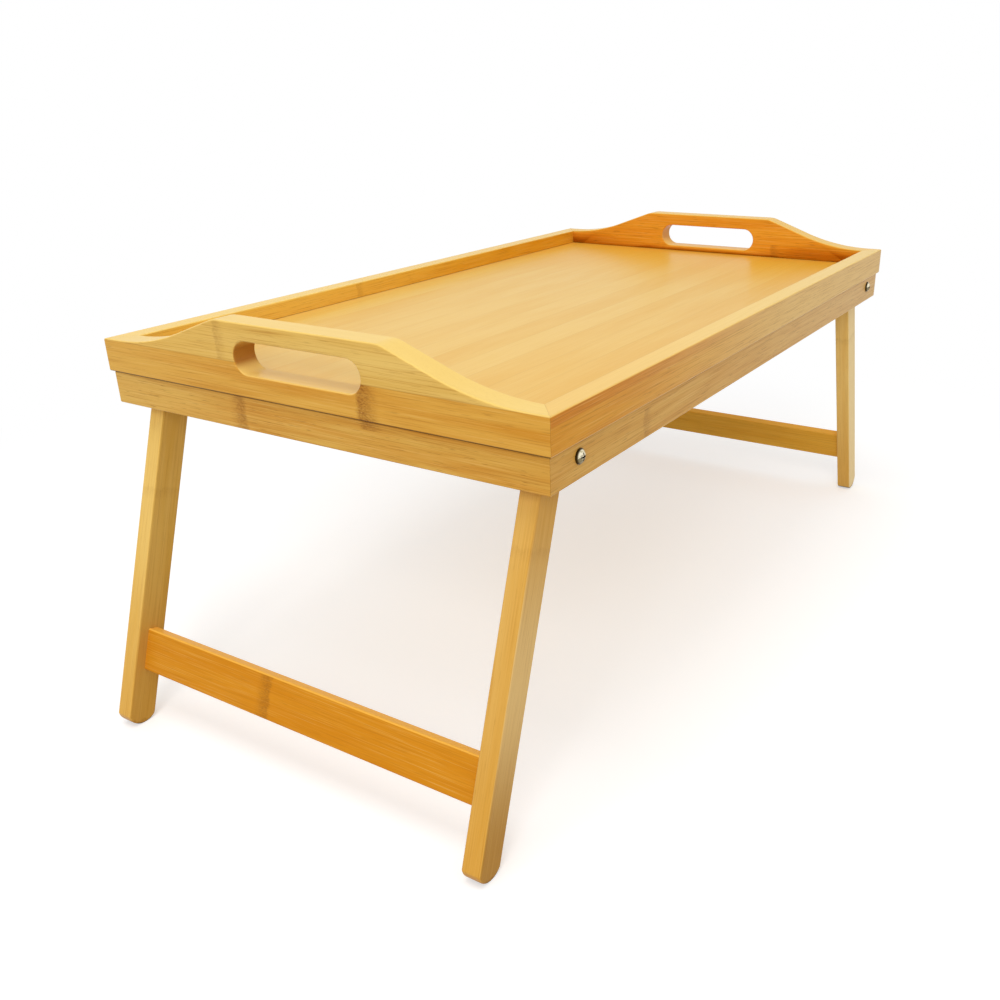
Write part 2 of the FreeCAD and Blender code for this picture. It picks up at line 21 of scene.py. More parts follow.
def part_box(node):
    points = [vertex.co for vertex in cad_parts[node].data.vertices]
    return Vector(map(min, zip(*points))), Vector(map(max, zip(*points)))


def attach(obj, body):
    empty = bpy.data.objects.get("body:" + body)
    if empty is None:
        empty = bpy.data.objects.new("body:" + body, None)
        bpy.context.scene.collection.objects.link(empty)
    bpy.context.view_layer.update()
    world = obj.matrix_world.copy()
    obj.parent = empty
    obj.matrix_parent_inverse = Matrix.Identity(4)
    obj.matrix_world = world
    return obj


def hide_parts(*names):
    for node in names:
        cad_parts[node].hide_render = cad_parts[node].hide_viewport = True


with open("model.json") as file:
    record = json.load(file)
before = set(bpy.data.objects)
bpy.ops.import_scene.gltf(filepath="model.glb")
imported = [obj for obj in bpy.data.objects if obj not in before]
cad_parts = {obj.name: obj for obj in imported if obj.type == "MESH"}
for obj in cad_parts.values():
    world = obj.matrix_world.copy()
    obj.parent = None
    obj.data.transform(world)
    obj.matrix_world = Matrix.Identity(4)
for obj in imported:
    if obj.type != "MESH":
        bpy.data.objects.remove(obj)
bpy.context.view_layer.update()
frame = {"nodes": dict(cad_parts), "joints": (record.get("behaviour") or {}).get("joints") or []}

MM = 0.001
CHORD_ERROR = 0.01             # how far a facet may leave its true arc
SHARP_ANGLE = math.radians(35)
MIX_A, MIX_B = 6, 7            # the colour inputs of a Mix node
log = logging.getLogger("bed_tray")

Place = Callable[[float, float, float], Vector]
Span = tuple[float, float]


class Member(Enum):
    """An end or a side of the tray, with the side of the frame that it lies on."""

    @property
    def key(self) -> str:
        """The member's word in the names of nodes and bodies."""
        return self.name.lower()


class End(Member):
    """The two ends of the tray."""

    LEFT = -1
    RIGHT = 1


class Side(Member):
    """The two long sides of the tray."""

    FRONT = -1
    BACK = 1


class Grain(Enum):
    """Which way the bamboo's fibres run in a piece."""

    ALONG_TRAY = "x"
    ACROSS_TRAY = "y"
    DOWN_LEFT_LEG = "left"
    DOWN_RIGHT_LEG = "right"


class Cross(Enum):
    """The direction, square to the fibres, in which strips are glued side by side."""

    FLAT = "Y"
    HIGH = "Z"


# --- what the frame says ----------------------------------------------------------------
@dataclass(frozen=True)
class NodeBox:
    """Lowest and highest corner of a CAD node, in millimetres."""

    low: Vector
    high: Vector

    @classmethod
    def of(cls, node: str) -> "NodeBox":
        """Read a node's box from the frame.

        Args:
            node: name of the CAD node.

        Returns:
            The box at rest.
        """
        low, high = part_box(node)
        return cls(low / MM, high / MM)


@dataclass(frozen=True)
class LegHinge:
    """Where a leg frame turns, and how far its opened legs lean."""

    x: float
    z: float
    splay: float

    @classmethod
    def of(cls, end: End) -> "LegHinge":
        """Read the hinge of one end's leg frame from the frame's joints.

        Args:
            end: the tray's end.

        Returns:
            The hinge, in millimetres and radians.
        """
        joint = next(joint for joint in frame["joints"] if joint["child"] == f"{end.key}_legs")
        x, _, z = joint["pos_m"]
        return cls(x / MM, z / MM, math.radians(joint["range_deg"][1] - 90))


# --- shader graph helpers ---------------------------------------------------------------
def linear(hex_colour: str) -> tuple[float, float, float, float]:
    """Turn an sRGB hex colour to linear light.

    Args:
        hex_colour: six hex digits.

    Returns:
        Red, green, blue and a full alpha.
    """
    channels = [int(hex_colour[start:start + 2], 16) / 255 for start in (0, 2, 4)]
    decoded = [c / 12.92 if c <= 0.04045 else ((c + 0.055) / 1.055) ** 2.4 for c in channels]
    return (*decoded, 1.0)


def add_node(tree: NodeTree, kind: str, inputs: Mapping[Any, Any] | None = None,
             **settings: Any) -> Node:
    """Add a node with its settings, values and links.

    Args:
        tree: the node tree that takes it.
        kind: Blender's name of the node type.
        inputs: sockets by name or index, each with a value, an output that feeds it, or a
            node, whose first output in use feeds it.
        settings: the node's own properties.

    Returns:
        The new node.
    """
    node = tree.nodes.new(kind)
    for name, value in settings.items():
        setattr(node, name, value)
    for key, value in (inputs or {}).items():
        if isinstance(value, Node):
            value = next(output for output in value.outputs if output.enabled)
        if isinstance(value, NodeSocket):
            tree.links.new(value, node.inputs[key])
        else:
            node.inputs[key].default_value = value
    return node


def new_material(name: str) -> tuple[Material, NodeTree]:
    """Start an empty node material.

    Args:
        name: the material's name.

    Returns:
        The material and its cleared tree.
    """
    material = bpy.data.materials.new(name)
    material.use_nodes = True
    material.node_tree.nodes.clear()
    return material, material.node_tree


@dataclass(frozen=True)
class Coat:
    """A tone laid over those before it, growing as a measured value crosses a span."""

    measure: Node | NodeSocket
    span: Span                 # none of the tone at the first value, its full share at the second
    tone: str
    share: float = 1.0
    masks: tuple[Node, ...] = ()
    smooth: bool = False
    blend: str = "MIX"


def coated(tree: NodeTree, ground: str, coats: Iterable[Coat]) -> Node:
    """Lay coats over a ground colour, one after another.

    Args:
        tree: the node tree that takes the nodes.
        ground: the colour under all the coats.
        coats: the coats, from the lowest up.

    Returns:
        The node that gives the final colour.
    """
    colour: Any = linear(ground)
    for coat in coats:
        share = add_node(tree, "ShaderNodeMapRange", {
            "Value": coat.measure, "From Min": coat.span[0], "From Max": coat.span[1],
            "To Max": coat.share}, interpolation_type="SMOOTHSTEP" if coat.smooth else "LINEAR")
        for mask in coat.masks:
            share = add_node(tree, "ShaderNodeMath", {0: share, 1: mask}, operation="MULTIPLY")
        colour = add_node(tree, "ShaderNodeMix", {0: share, MIX_A: colour, MIX_B: linear(coat.tone)},
                          data_type="RGBA", blend_type=coat.blend)
    return colour


# --- finishes ---------------------------------------------------------------------------
@dataclass(frozen=True)
class Knuckle:
    """A joint of the bamboo stem: a brown, speckled band with one crisp and one soft edge."""

    at: float                  # its crisp edge, along the fibres
    low: float                 # from here ...
    high: float                # ... to here across them
    width: float = 9.0         # over which it fades; the other way where this is negative
    strength: float = 0.5


@dataclass(frozen=True)
class Lamina:
    """The upper layer of a board that is glued up from two, with tones of its own."""

    above: float
    body: str
    warm: str


@dataclass(frozen=True)
class Drift:
    """A slow change of tone along a board, from none at one place to its full share at another, used on some
    boards for painted sheen, reflection and shade.
    """

    start: float
    end: float
    tone: str
    share: float = 1.0
    broad_only: bool = False   # on the faces across Y alone


@dataclass(frozen=True)
class Seam:
    """A line drawn on rounded edges near one height: painted shade or a painted highlight where two boards
    meet, or a dark line along a foot.
    """

    height: float
    reach: float = 1.0         # how far above and below the joint it shows
    tone: str = "5E3A12"
    strength: float = 0.8


@dataclass(frozen=True)
class LacqueredBamboo:
    """Carbonised, side-glued bamboo strip, sanded and sprayed with a satin lacquer.

    The eye sees straight fine fibres, strips of slightly different tone, the speckled
    bands of the stem's joints and a soft sheen that pales the surface at a low angle.
    """

    name: str
    grain: Grain
    body: str = "DFA94F"
    warm: str = "D28A2A"
    upper: Lamina | None = None
    drifts: tuple[Drift, ...] = ()
    broad: str = "FFFFFF"      # painted shade: what the faces across Y keep of each tone
    fibre: str = "A9681C"
    fibre_strength: float = 0.5
    light_fibre: str = "F0C876"
    dash: str = "8A5414"
    dash_strength: float = 0.5
    knuckle_tone: str = "8F5519"
    glue: str = "8A5A20"
    glue_strength: float = 0.35
    edge: str = "FAD77A"       # painted light on the faces that look up
    edge_strength: float = 0.0
    # the end grain's own darker tone, partly painted shade on the slot's walls
    end_grain: str = "A8681F"
    seam: Seam | None = None
    cloud_width: float = 7.0
    strip_cross: Cross = Cross.HIGH
    strip_width: float = 22.0
    strip_start: float = 0.0
    strip_contrast: float = 0.3
    knuckles: tuple[Knuckle, ...] = ()
    seed: float = 0.0
    roughness: float = 0.32
    shine: float = 0.1         # of the lacquer, against a full varnish at 0.5

    # Real sizes of the pattern. A fibre bundle is about 0.3 mm wide; it is drawn at 0.45 mm
    # so that it still shows at the distance of the picture.
    FIBRE_WIDTH = 0.45
    FIBRE_LENGTH = 38.0
    DASH_WIDTH = 0.5
    DASH_LENGTH = 11.0
    CLOUD_LENGTH = 110.0
    GLUE_WIDTH = 0.35
    LAMINA_EDGE = 0.1
    FIBRE_RELIEF = 0.02
    KNUCKLE_SWAY = 2.5         # how far its crisp edge wavers along the fibres
    KNUCKLE_CRISP = 0.08       # how far that edge spreads either way, as a share of its width
    KNUCKLE_SOLID = 0.2        # the share of its width where it is whole, before it fades
    WAVER_LENGTH, WAVER_WIDTH = 9.0, 3.0
    SPECK_LENGTH, SPECK_WIDTH = 1.6, 0.8
    SPECK_FLOOR = 0.45         # what a knuckle keeps of its tone in its palest specks
    STRIP_SLIDE = 900.0        # each strip shows its own stretch of the pattern, up to this far on
    SEED_SLIDE = 13.7          # and each piece its own, this far across for a seed of one

    # How much the fibres' noise has to leave its middle before they darken or pale, and how
    # far a face has to turn before it counts as broad, as cut across the fibres or as upward.
    DARK_FIBRE = (0.48, 0.30)
    PALE_FIBRE = (0.54, 0.76)
    DARK_DASH = (0.35, 0.24)
    CLOUD = (0.3, 0.7)
    SPECK = (0.35, 0.6)
    BROAD_FACE = (0.6, 0.8)
    CUT_FACE = (0.45, 0.9)
    UPWARD_FACE = (0.25, 0.85)
    SEAM_EDGE = (0.1, 0.4)
    CUT_SHARE = 0.85
    SHEEN_RANGE = 0.08         # of roughness, either side of its mean

    def board_frame(self) -> tuple[Vector, Vector]:
        """Rotation and shift that turn object millimetres to fibres along X.

        Returns:
            Euler angles, and the shift that follows the turn.
        """
        if self.grain is Grain.ALONG_TRAY:
            return Vector((0, 0, 0)), Vector((0, 0, 0))
        if self.grain is Grain.ACROSS_TRAY:
            return Vector((0, 0, -math.pi / 2)), Vector((0, 0, 0))
        end = End.LEFT if self.grain is Grain.DOWN_LEFT_LEG else End.RIGHT
        hinge = LegHinge.of(end)
        turn = -(math.pi / 2 - end.value * hinge.splay)
        pivot = Matrix.Rotation(turn, 3, "Y") @ Vector((hinge.x, 0, hinge.z))
        return Vector((0, turn, 0)), -pivot

    def material(self) -> Material:
        """Build the finish.

        Returns:
            The node material.
        """
        material, tree = new_material(self.name)
        rotation, shift = self.board_frame()
        where = add_node(tree, "ShaderNodeTexCoord")
        board = add_node(tree, "ShaderNodeMapping", {
            "Vector": where.outputs["Object"], "Location": shift,
            "Rotation": rotation, "Scale": (1 / MM, 1 / MM, 1 / MM)})
        axes = add_node(tree, "ShaderNodeSeparateXYZ", {0: board})
        crossing = axes.outputs[self.strip_cross.value]
        beyond = add_node(tree, "ShaderNodeMath", {0: crossing, 1: self.strip_start}, operation="SUBTRACT")
        count = add_node(tree, "ShaderNodeMath", {0: beyond, 1: self.strip_width}, operation="DIVIDE")
        index = add_node(tree, "ShaderNodeMath", {0: count}, operation="FLOOR")
        own_seed = add_node(tree, "ShaderNodeMath", {0: index, 1: self.seed}, operation="ADD")
        lot = add_node(tree, "ShaderNodeTexWhiteNoise", {"W": own_seed}, noise_dimensions="1D")
        slide = add_node(tree, "ShaderNodeMath", {0: lot, 1: self.STRIP_SLIDE}, operation="MULTIPLY")
        offset = add_node(tree, "ShaderNodeCombineXYZ", {0: slide, 1: self.seed * self.SEED_SLIDE})
        strip = add_node(tree, "ShaderNodeVectorMath", {0: board, 1: offset}, operation="ADD")
        fibre = self._streaks(tree, strip, self.FIBRE_LENGTH, self.FIBRE_WIDTH, 3.0)
        dash = self._streaks(tree, strip, self.DASH_LENGTH, self.DASH_WIDTH, 1.0)
        tone = self._tone(tree, lot, self._streaks(tree, strip, self.CLOUD_LENGTH, self.cloud_width, 2.0))

        normal = where.outputs["Normal"]
        facing = add_node(tree, "ShaderNodeSeparateXYZ", {0: normal})
        sideways = add_node(tree, "ShaderNodeMath", {0: facing.outputs["Y"]}, operation="ABSOLUTE")
        broad = add_node(tree, "ShaderNodeMapRange", {
            "Value": sideways, "From Min": self.BROAD_FACE[0], "From Max": self.BROAD_FACE[1]})
        along_fibres = add_node(tree, "ShaderNodeVectorMath", {0: normal, 1: self._fibre_direction()},
                                operation="DOT_PRODUCT")
        cut = add_node(tree, "ShaderNodeMath", {0: along_fibres}, operation="ABSOLUTE")
        line = add_node(tree, "ShaderNodeMath", {0: count}, operation="ROUND")
        past_line = add_node(tree, "ShaderNodeMath", {0: count, 1: line}, operation="SUBTRACT")
        off_line = add_node(tree, "ShaderNodeMath", {0: past_line}, operation="ABSOLUTE")

        coats = [Coat(tone, (0.0, 1.0), self.warm)]
        if self.upper is not None:
            edge = (self.upper.above - self.LAMINA_EDGE, self.upper.above + self.LAMINA_EDGE)
            coats += [Coat(crossing, edge, self.upper.body),
                      Coat(crossing, edge, self.upper.warm, masks=(tone,))]
        # drifts: slow changes of tone, which on some boards are painted sheen, reflection and shade
        coats += [Coat(axes.outputs["X"], (drift.start, drift.end), drift.tone, drift.share,
                       (broad,) if drift.broad_only else (), smooth=True) for drift in self.drifts]
        coats += [Coat(fibre, self.DARK_FIBRE, self.fibre, self.fibre_strength),
                  Coat(fibre, self.PALE_FIBRE, self.light_fibre, self.fibre_strength),
                  Coat(dash, self.DARK_DASH, self.dash, self.dash_strength),
                  Coat(off_line, (self.GLUE_WIDTH / self.strip_width, 0.0), self.glue, self.glue_strength),
                  *self._knuckle_coats(tree, axes, strip),
                  # cut faces take the end grain's tone, partly painted shade on the slot's walls
                  Coat(cut, self.CUT_FACE, self.end_grain, self.CUT_SHARE),
                  # painted shade on the faces across Y
                  Coat(broad, (0.0, 1.0), self.broad, blend="MULTIPLY"),
                  # painted light on the faces that look up
                  Coat(facing.outputs["Z"], self.UPWARD_FACE, self.edge, self.edge_strength, smooth=True)]
        # the seam line: painted shade or a painted highlight where rim and apron meet; on the legs, a dark
        # line along the foot
        if self.seam is not None:
            coats.append(self._seam_coat(tree, where.outputs["Object"], facing))

        bump = add_node(tree, "ShaderNodeBump", {
            "Height": fibre, "Strength": 0.35, "Distance": self.FIBRE_RELIEF * MM})
        sheen = add_node(tree, "ShaderNodeMapRange", {
            "Value": fibre, "To Min": self.roughness + self.SHEEN_RANGE,
            "To Max": self.roughness - self.SHEEN_RANGE})
        shader = add_node(tree, "ShaderNodeBsdfPrincipled", {
            "Base Color": coated(tree, self.body, coats), "Roughness": sheen, "Normal": bump,
            "IOR": 1.5, "Specular IOR Level": self.shine})
        add_node(tree, "ShaderNodeOutputMaterial", {"Surface": shader})
        return material

    def _fibre_direction(self) -> Vector:
        """Direction of the fibres in the frame."""
        rotation, _ = self.board_frame()
        return Euler(rotation).to_matrix().inverted() @ Vector((1, 0, 0))

    def _streaks(self, tree: NodeTree, place: Node, length: float, width: float, detail: float) -> Node:
        """Draw noise out along the fibres.

        Args:
            tree: the material's tree.
            place: where the strip's pattern is read.
            length: of a streak.
            width: of a streak.
            detail: how many finer layers the noise has.

        Returns:
            The noise, about 0.5.
        """
        stretch = Vector((1 / length, 1 / width, 1 / width))
        drawn = add_node(tree, "ShaderNodeVectorMath", {0: place, 1: stretch}, operation="MULTIPLY")
        return add_node(tree, "ShaderNodeTexNoise", {
            "Vector": drawn, "Scale": 1.0, "Detail": detail, "Roughness": 0.55})

    def _tone(self, tree: NodeTree, lot: Node, cloud: Node) -> Node:
        """Share of the warm tone, by the strip's own lot and its clouds.

        Args:
            tree: the material's tree.
            lot: the strip's number, drawn between 0 and 1.
            cloud: slow noise along the strip.

        Returns:
            The share.
        """
        lean = add_node(tree, "ShaderNodeMapRange", {
            "Value": lot, "To Min": -self.strip_contrast, "To Max": self.strip_contrast})
        mottle = add_node(tree, "ShaderNodeMapRange", {
            "Value": cloud, "From Min": self.CLOUD[0], "From Max": self.CLOUD[1]})
        return add_node(tree, "ShaderNodeMath", {0: mottle, 1: lean}, operation="ADD", use_clamp=True)

    def _seam_coat(self, tree: NodeTree, place: NodeSocket, facing: Node) -> Coat:
        """Coat of the seam line, which is painted shade or a painted highlight at the rim's joint and a dark
        line at a foot: near the joint's height, on the edges that turn into it.

        Args:
            tree: the material's tree.
            place: the point in the frame.
            facing: the parts of the face's normal.

        Returns:
            The coat.
        """
        height = add_node(tree, "ShaderNodeSeparateXYZ", {0: place})
        away = add_node(tree, "ShaderNodeMath", {0: height.outputs["Z"], 1: self.seam.height * MM},
                        operation="SUBTRACT")
        distance = add_node(tree, "ShaderNodeMath", {0: away}, operation="ABSOLUTE")
        tilt = add_node(tree, "ShaderNodeMath", {0: facing.outputs["Z"]}, operation="ABSOLUTE")
        turning = add_node(tree, "ShaderNodeMapRange", {
            "Value": tilt, "From Min": self.SEAM_EDGE[0], "From Max": self.SEAM_EDGE[1]})
        return Coat(distance, (self.seam.reach * MM, self.seam.reach * MM / 2), self.seam.tone,
                    self.seam.strength, (turning,))

    def _knuckle_coats(self, tree: NodeTree, axes: Node, strip: Node) -> list[Coat]:
        """Coats that draw the joints of the stem.

        Args:
            tree: the material's tree.
            axes: place along the fibres and across them.
            strip: where the strip's pattern is read.

        Returns:
            A coat for each knuckle.
        """
        if not self.knuckles:
            return []
        waver = self._streaks(tree, strip, self.WAVER_LENGTH, self.WAVER_WIDTH, 2.0)
        specks = self._streaks(tree, strip, self.SPECK_LENGTH, self.SPECK_WIDTH, 2.0)
        grit = add_node(tree, "ShaderNodeMapRange", {
            "Value": specks, "From Min": self.SPECK[0], "From Max": self.SPECK[1],
            "To Min": 1.0, "To Max": self.SPECK_FLOOR})
        coats = []
        for knuckle in self.knuckles:
            sway = add_node(tree, "ShaderNodeMapRange", {
                "Value": waver, "To Min": knuckle.at - self.KNUCKLE_SWAY,
                "To Max": knuckle.at + self.KNUCKLE_SWAY})
            along = add_node(tree, "ShaderNodeMath", {0: axes.outputs["X"], 1: sway}, operation="SUBTRACT")
            fading = add_node(tree, "ShaderNodeMapRange", {
                "Value": along, "From Min": knuckle.width, "From Max": knuckle.width * self.KNUCKLE_SOLID},
                interpolation_type="SMOOTHSTEP")
            inside = add_node(tree, "ShaderNodeMath", {
                0: axes.outputs[self.strip_cross.value], 1: (knuckle.low + knuckle.high) / 2,
                2: (knuckle.high - knuckle.low) / 2}, operation="COMPARE")
            crisp = knuckle.width * self.KNUCKLE_CRISP
            coats.append(Coat(along, (-crisp, crisp), self.knuckle_tone, knuckle.strength,
                              (fading, inside, grit)))
        return coats


@dataclass(frozen=True)
class Grime:
    """Painted shadow round a bolt head's rim and in its cross, and a painted dark reflection on its lower
    part, under its brow.
    """

    rim_height: float          # from the tray's middle: painted shadow on the head below this
    recess_height: float       # ... and near its axis already below this
    recess_radius: float
    axis: Vector               # of the bolt, as distances from the tray's middle planes
    brow: float                # how far below the axis the painted dark reflection on the head starts
    # painted shadow in the rim's gap and in the cross, and the painted dark reflection on the lower part
    tone: str = "3A2A10"
    dull: str = "5A4E26"

    RIM_FADE = 0.25
    RECESS_FADE = 0.3
    AXIS_FADE = 0.2
    BROW_FADE = 0.4
    RAGGED = 1.2               # how far the painted dark reflection strays up and down
    STRAY = (0.35, 0.65)
    DULL_SHARE = 0.85


@dataclass(frozen=True)
class PlatedSteel:
    """Turned or pressed steel with a thin bright plating: sharp highlights, faint wear."""

    name: str
    tone: str
    worn_tone: str
    roughness: float
    grime: Grime | None = None

    WEAR_SIZE = 1.8
    WORN = (0.5, 0.75)
    POLISH = (0.7, 1.4)        # of the mean roughness, between fresh and worn

    def material(self) -> Material:
        """Build the finish.

        Returns:
            The node material.
        """
        material, tree = new_material(self.name)
        place = add_node(tree, "ShaderNodeTexCoord").outputs["Object"]
        wear = add_node(tree, "ShaderNodeTexNoise", {
            "Vector": place, "Scale": 1 / (self.WEAR_SIZE * MM), "Detail": 4.0})
        coats = [Coat(wear, self.WORN, self.worn_tone)]
        # painted shadow and a painted dark reflection on the bolt heads
        if self.grime is not None:
            coats += self._grime_coats(tree, place, wear)
        polish = add_node(tree, "ShaderNodeMapRange", {
            "Value": wear, "To Min": self.roughness * self.POLISH[0],
            "To Max": self.roughness * self.POLISH[1]})
        shader = add_node(tree, "ShaderNodeBsdfPrincipled", {
            "Base Color": coated(tree, self.tone, coats), "Roughness": polish, "Metallic": 1.0})
        add_node(tree, "ShaderNodeOutputMaterial", {"Surface": shader})
        return material

    def _grime_coats(self, tree: NodeTree, place: NodeSocket, wear: Node) -> list[Coat]:
        """Coats of painted shade on every bolt head: a painted dark reflection on its lower part, and painted
        shadow at its rim and in its cross.

        Args:
            tree: the material's tree.
            place: the point in the frame.
            wear: noise that makes the painted dark reflection ragged.

        Returns:
            The coats, from the lowest up.
        """
        grime = self.grime
        folded = add_node(tree, "ShaderNodeVectorMath", {0: place}, operation="ABSOLUTE")
        beside = add_node(tree, "ShaderNodeVectorMath", {0: folded, 1: grime.axis * MM}, operation="SUBTRACT")
        flat = add_node(tree, "ShaderNodeVectorMath", {0: beside, 1: (1, 0, 1)}, operation="MULTIPLY")
        radius = add_node(tree, "ShaderNodeVectorMath", {0: flat}, operation="LENGTH")
        near_axis = add_node(tree, "ShaderNodeMapRange", {
            "Value": radius, "From Min": (grime.recess_radius + grime.AXIS_FADE) * MM,
            "From Max": grime.recess_radius * MM})
        off_axis = add_node(tree, "ShaderNodeSeparateXYZ", {0: beside})
        out = off_axis.outputs["Y"]
        stray = add_node(tree, "ShaderNodeMapRange", {
            "Value": wear, "From Min": grime.STRAY[0], "From Max": grime.STRAY[1],
            "To Min": -grime.RAGGED * MM, "To Max": grime.RAGGED * MM})
        lower = add_node(tree, "ShaderNodeMath", {0: off_axis.outputs["Z"], 1: stray}, operation="ADD")
        brow = ((grime.BROW_FADE - grime.brow) * MM, (-grime.BROW_FADE - grime.brow) * MM)
        rim = ((grime.rim_height + grime.RIM_FADE) * MM, (grime.rim_height - grime.RIM_FADE) * MM)
        recess = (grime.recess_height * MM, (grime.recess_height - grime.RECESS_FADE) * MM)
        return [Coat(lower, brow, grime.dull, grime.DULL_SHARE), Coat(out, rim, grime.tone),
                Coat(out, recess, grime.tone, masks=(near_axis,))]


@dataclass(frozen=True)
class MouldedNylon:
    """Uncoloured moulded nylon: milky, slightly waxy, a little uneven."""

    name: str = "natural_nylon"
    tone: str = "E9E4D2"
    shade: str = "DAD2B8"

    MOTTLE_SIZE = 2.5

    def material(self) -> Material:
        """Build the finish.

        Returns:
            The node material.
        """
        material, tree = new_material(self.name)
        where = add_node(tree, "ShaderNodeTexCoord")
        mottle = add_node(tree, "ShaderNodeTexNoise", {
            "Vector": where.outputs["Object"], "Scale": 1 / (self.MOTTLE_SIZE * MM), "Detail": 2.0})
        shader = add_node(tree, "ShaderNodeBsdfPrincipled", {
            "Base Color": coated(tree, self.tone, [Coat(mottle, (0.0, 1.0), self.shade)]),
            "Roughness": 0.45, "IOR": 1.53, "Subsurface Weight": 0.15, "Subsurface Scale": 0.001})
        add_node(tree, "ShaderNodeOutputMaterial", {"Surface": shader})
        return material


# --- outlines and solids ----------------------------------------------------------------
@dataclass(frozen=True)
class Corner:
    """A corner of an outline, rounded by its radius.

    An upright corner lies on a mitred end: easing moves it up or down and never along.
    """

    u: float
    v: float
    radius: float = 0.0
    upright: bool = False


@dataclass(frozen=True)
class RimPoint:
    """A point of an outline, and the push that carries it outwards by one millimetre."""

    at: Vector
    push: Vector

    def eased(self, inwards: float) -> Vector:
        """The point, brought inwards."""
        return self.at - self.push * inwards


def outline(corners: Sequence[Corner]) -> list[RimPoint]:
    """Run round a closed outline, counter-clockwise, with its arcs cut to facets.

    Args:
        corners: the outline's corners in order.

    Returns:
        Points with their outward pushes.
    """
    points = [Vector((corner.u, corner.v)) for corner in corners]
    rim: list[RimPoint] = []
    for index, corner in enumerate(corners):
        here = points[index]
        arriving = (here - points[index - 1]).normalized()
        leaving = (points[(index + 1) % len(points)] - here).normalized()
        first = Vector((arriving.y, -arriving.x))
        last = Vector((leaving.y, -leaving.x))
        turn = math.atan2(arriving.cross(leaving), arriving.dot(leaving))
        if corner.upright:
            rim.append(RimPoint(here, Vector((0, math.copysign(1, (first + last).y)))))
        elif corner.radius == 0:
            rim.append(RimPoint(here, (first + last) / (1 + first.dot(last))))
        else:
            tangent = corner.radius * abs(math.tan(turn / 2))
            bend = math.copysign(corner.radius, turn)
            centre = here - arriving * tangent - first * bend
            facet = 2 * math.acos(1 - CHORD_ERROR / corner.radius)
            count = max(2, math.ceil(abs(turn) / facet))
            for step in range(count + 1):
                normal = Matrix.Rotation(turn * step / count, 2) @ first
                rim.append(RimPoint(centre + normal * bend, normal))
    return rim


def rectangle(low_u: float, low_v: float, high_u: float, high_v: float,
              radius: float = 0.0) -> list[Corner]:
    """Corners of a rectangle.

    Args:
        low_u: its least u.
        low_v: its least v.
        high_u: its greatest u.
        high_v: its greatest v.
        radius: of its rounded corners.

    Returns:
        The corners, counter-clockwise.
    """
    return [Corner(low_u, low_v, radius), Corner(high_u, low_v, radius),
            Corner(high_u, high_v, radius), Corner(low_u, high_v, radius)]


def circle(radius: float) -> list[Corner]:
    """Corners of a square whose rounding makes it a circle about the origin."""
    return rectangle(-radius, -radius, radius, radius, radius)


def linked(name: str, data: Any) -> Object:
    """Make an object and link it to the scene.

    Args:
        name: the object's name.
        data: its mesh, lamp or camera.

    Returns:
        The object.
    """
    piece = bpy.data.objects.new(name, data)
    bpy.context.scene.collection.objects.link(piece)
    return piece


def mesh_object(name: str, shape: BMesh) -> Object:
    """Turn a finished bmesh to an object with outward faces and smooth arcs.

    Args:
        name: the object's name.
        shape: the bmesh, which is freed.

    Returns:
        The linked object.
    """
    bmesh.ops.remove_doubles(shape, verts=shape.verts, dist=1e-7)
    bmesh.ops.recalc_face_normals(shape, faces=shape.faces)
    mesh = bpy.data.meshes.new(name)
    shape.to_mesh(mesh)
    shape.free()
    piece = linked(name, mesh)
    smooth_arcs(piece)
    return piece


def smooth_arcs(piece: Object) -> None:
    """Shade arcs smooth and keep flat faces flat.

    Args:
        piece: a mesh object.
    """
    piece.data.shade_smooth()
    piece.data.set_sharp_from_angle(angle=SHARP_ANGLE)
    if "flat_faces" not in piece.modifiers:
        weighted = piece.modifiers.new("flat_faces", "WEIGHTED_NORMAL")
        weighted.keep_sharp = True


def close_ring(shape: BMesh, rings: Sequence[Sequence[BMVert]]) -> None:
    """Wall between successive rings of as many vertices each.

    Args:
        shape: the bmesh that takes the faces.
        rings: the rings in order.
    """
    for near, far in zip(rings, rings[1:]):
        for index in range(len(near)):
            following = (index + 1) % len(near)
            shape.faces.new((near[index], near[following], far[following], far[index]))


def eased_prism(name: str, rim: Sequence[RimPoint], low: float, high: float, ease: float,
                place: Place, holes: Iterable[Sequence[RimPoint]] = ()) -> Object:
    """Board of one outline with rounded edges round both faces and round its holes.

    Args:
        name: the object's name.
        rim: the outer outline.
        low: where the first face lies across the outline's plane.
        high: where the second face lies.
        ease: radius of the rounded edges.
        place: turns outline and depth to a point of the frame, in millimetres.
        holes: outlines of holes right through.

    Returns:
        The board.
    """
    facet = 2 * math.acos(1 - CHORD_ERROR / ease)
    count = max(2, math.ceil(math.pi / 2 / facet))
    bends = [math.pi / 2 * step / count for step in range(count + 1)]
    start = [(low + ease * (1 - math.cos(bend)), ease * (1 - math.sin(bend))) for bend in bends]
    stations = start + [(low + high - depth, inwards) for depth, inwards in reversed(start)]
    shape = bmesh.new()
    faces: tuple[list, list] = ([], [])
    for points, sense in [(rim, 1.0)] + [(hole, -1.0) for hole in holes]:
        rings = []
        for depth, inwards in stations:
            flat = [point.eased(sense * inwards) for point in points]
            rings.append([shape.verts.new(place(spot.x, spot.y, depth) * MM) for spot in flat])
        close_ring(shape, rings)
        faces[0].append(rings[0])
        faces[1].append(rings[-1])
    for loops in faces:
        edges = [shape.edges.get((loop[index - 1], loop[index]))
                 for loop in loops for index in range(len(loop))]
        bmesh.ops.triangle_fill(shape, edges=edges, use_beauty=True)
    return mesh_object(name, shape)


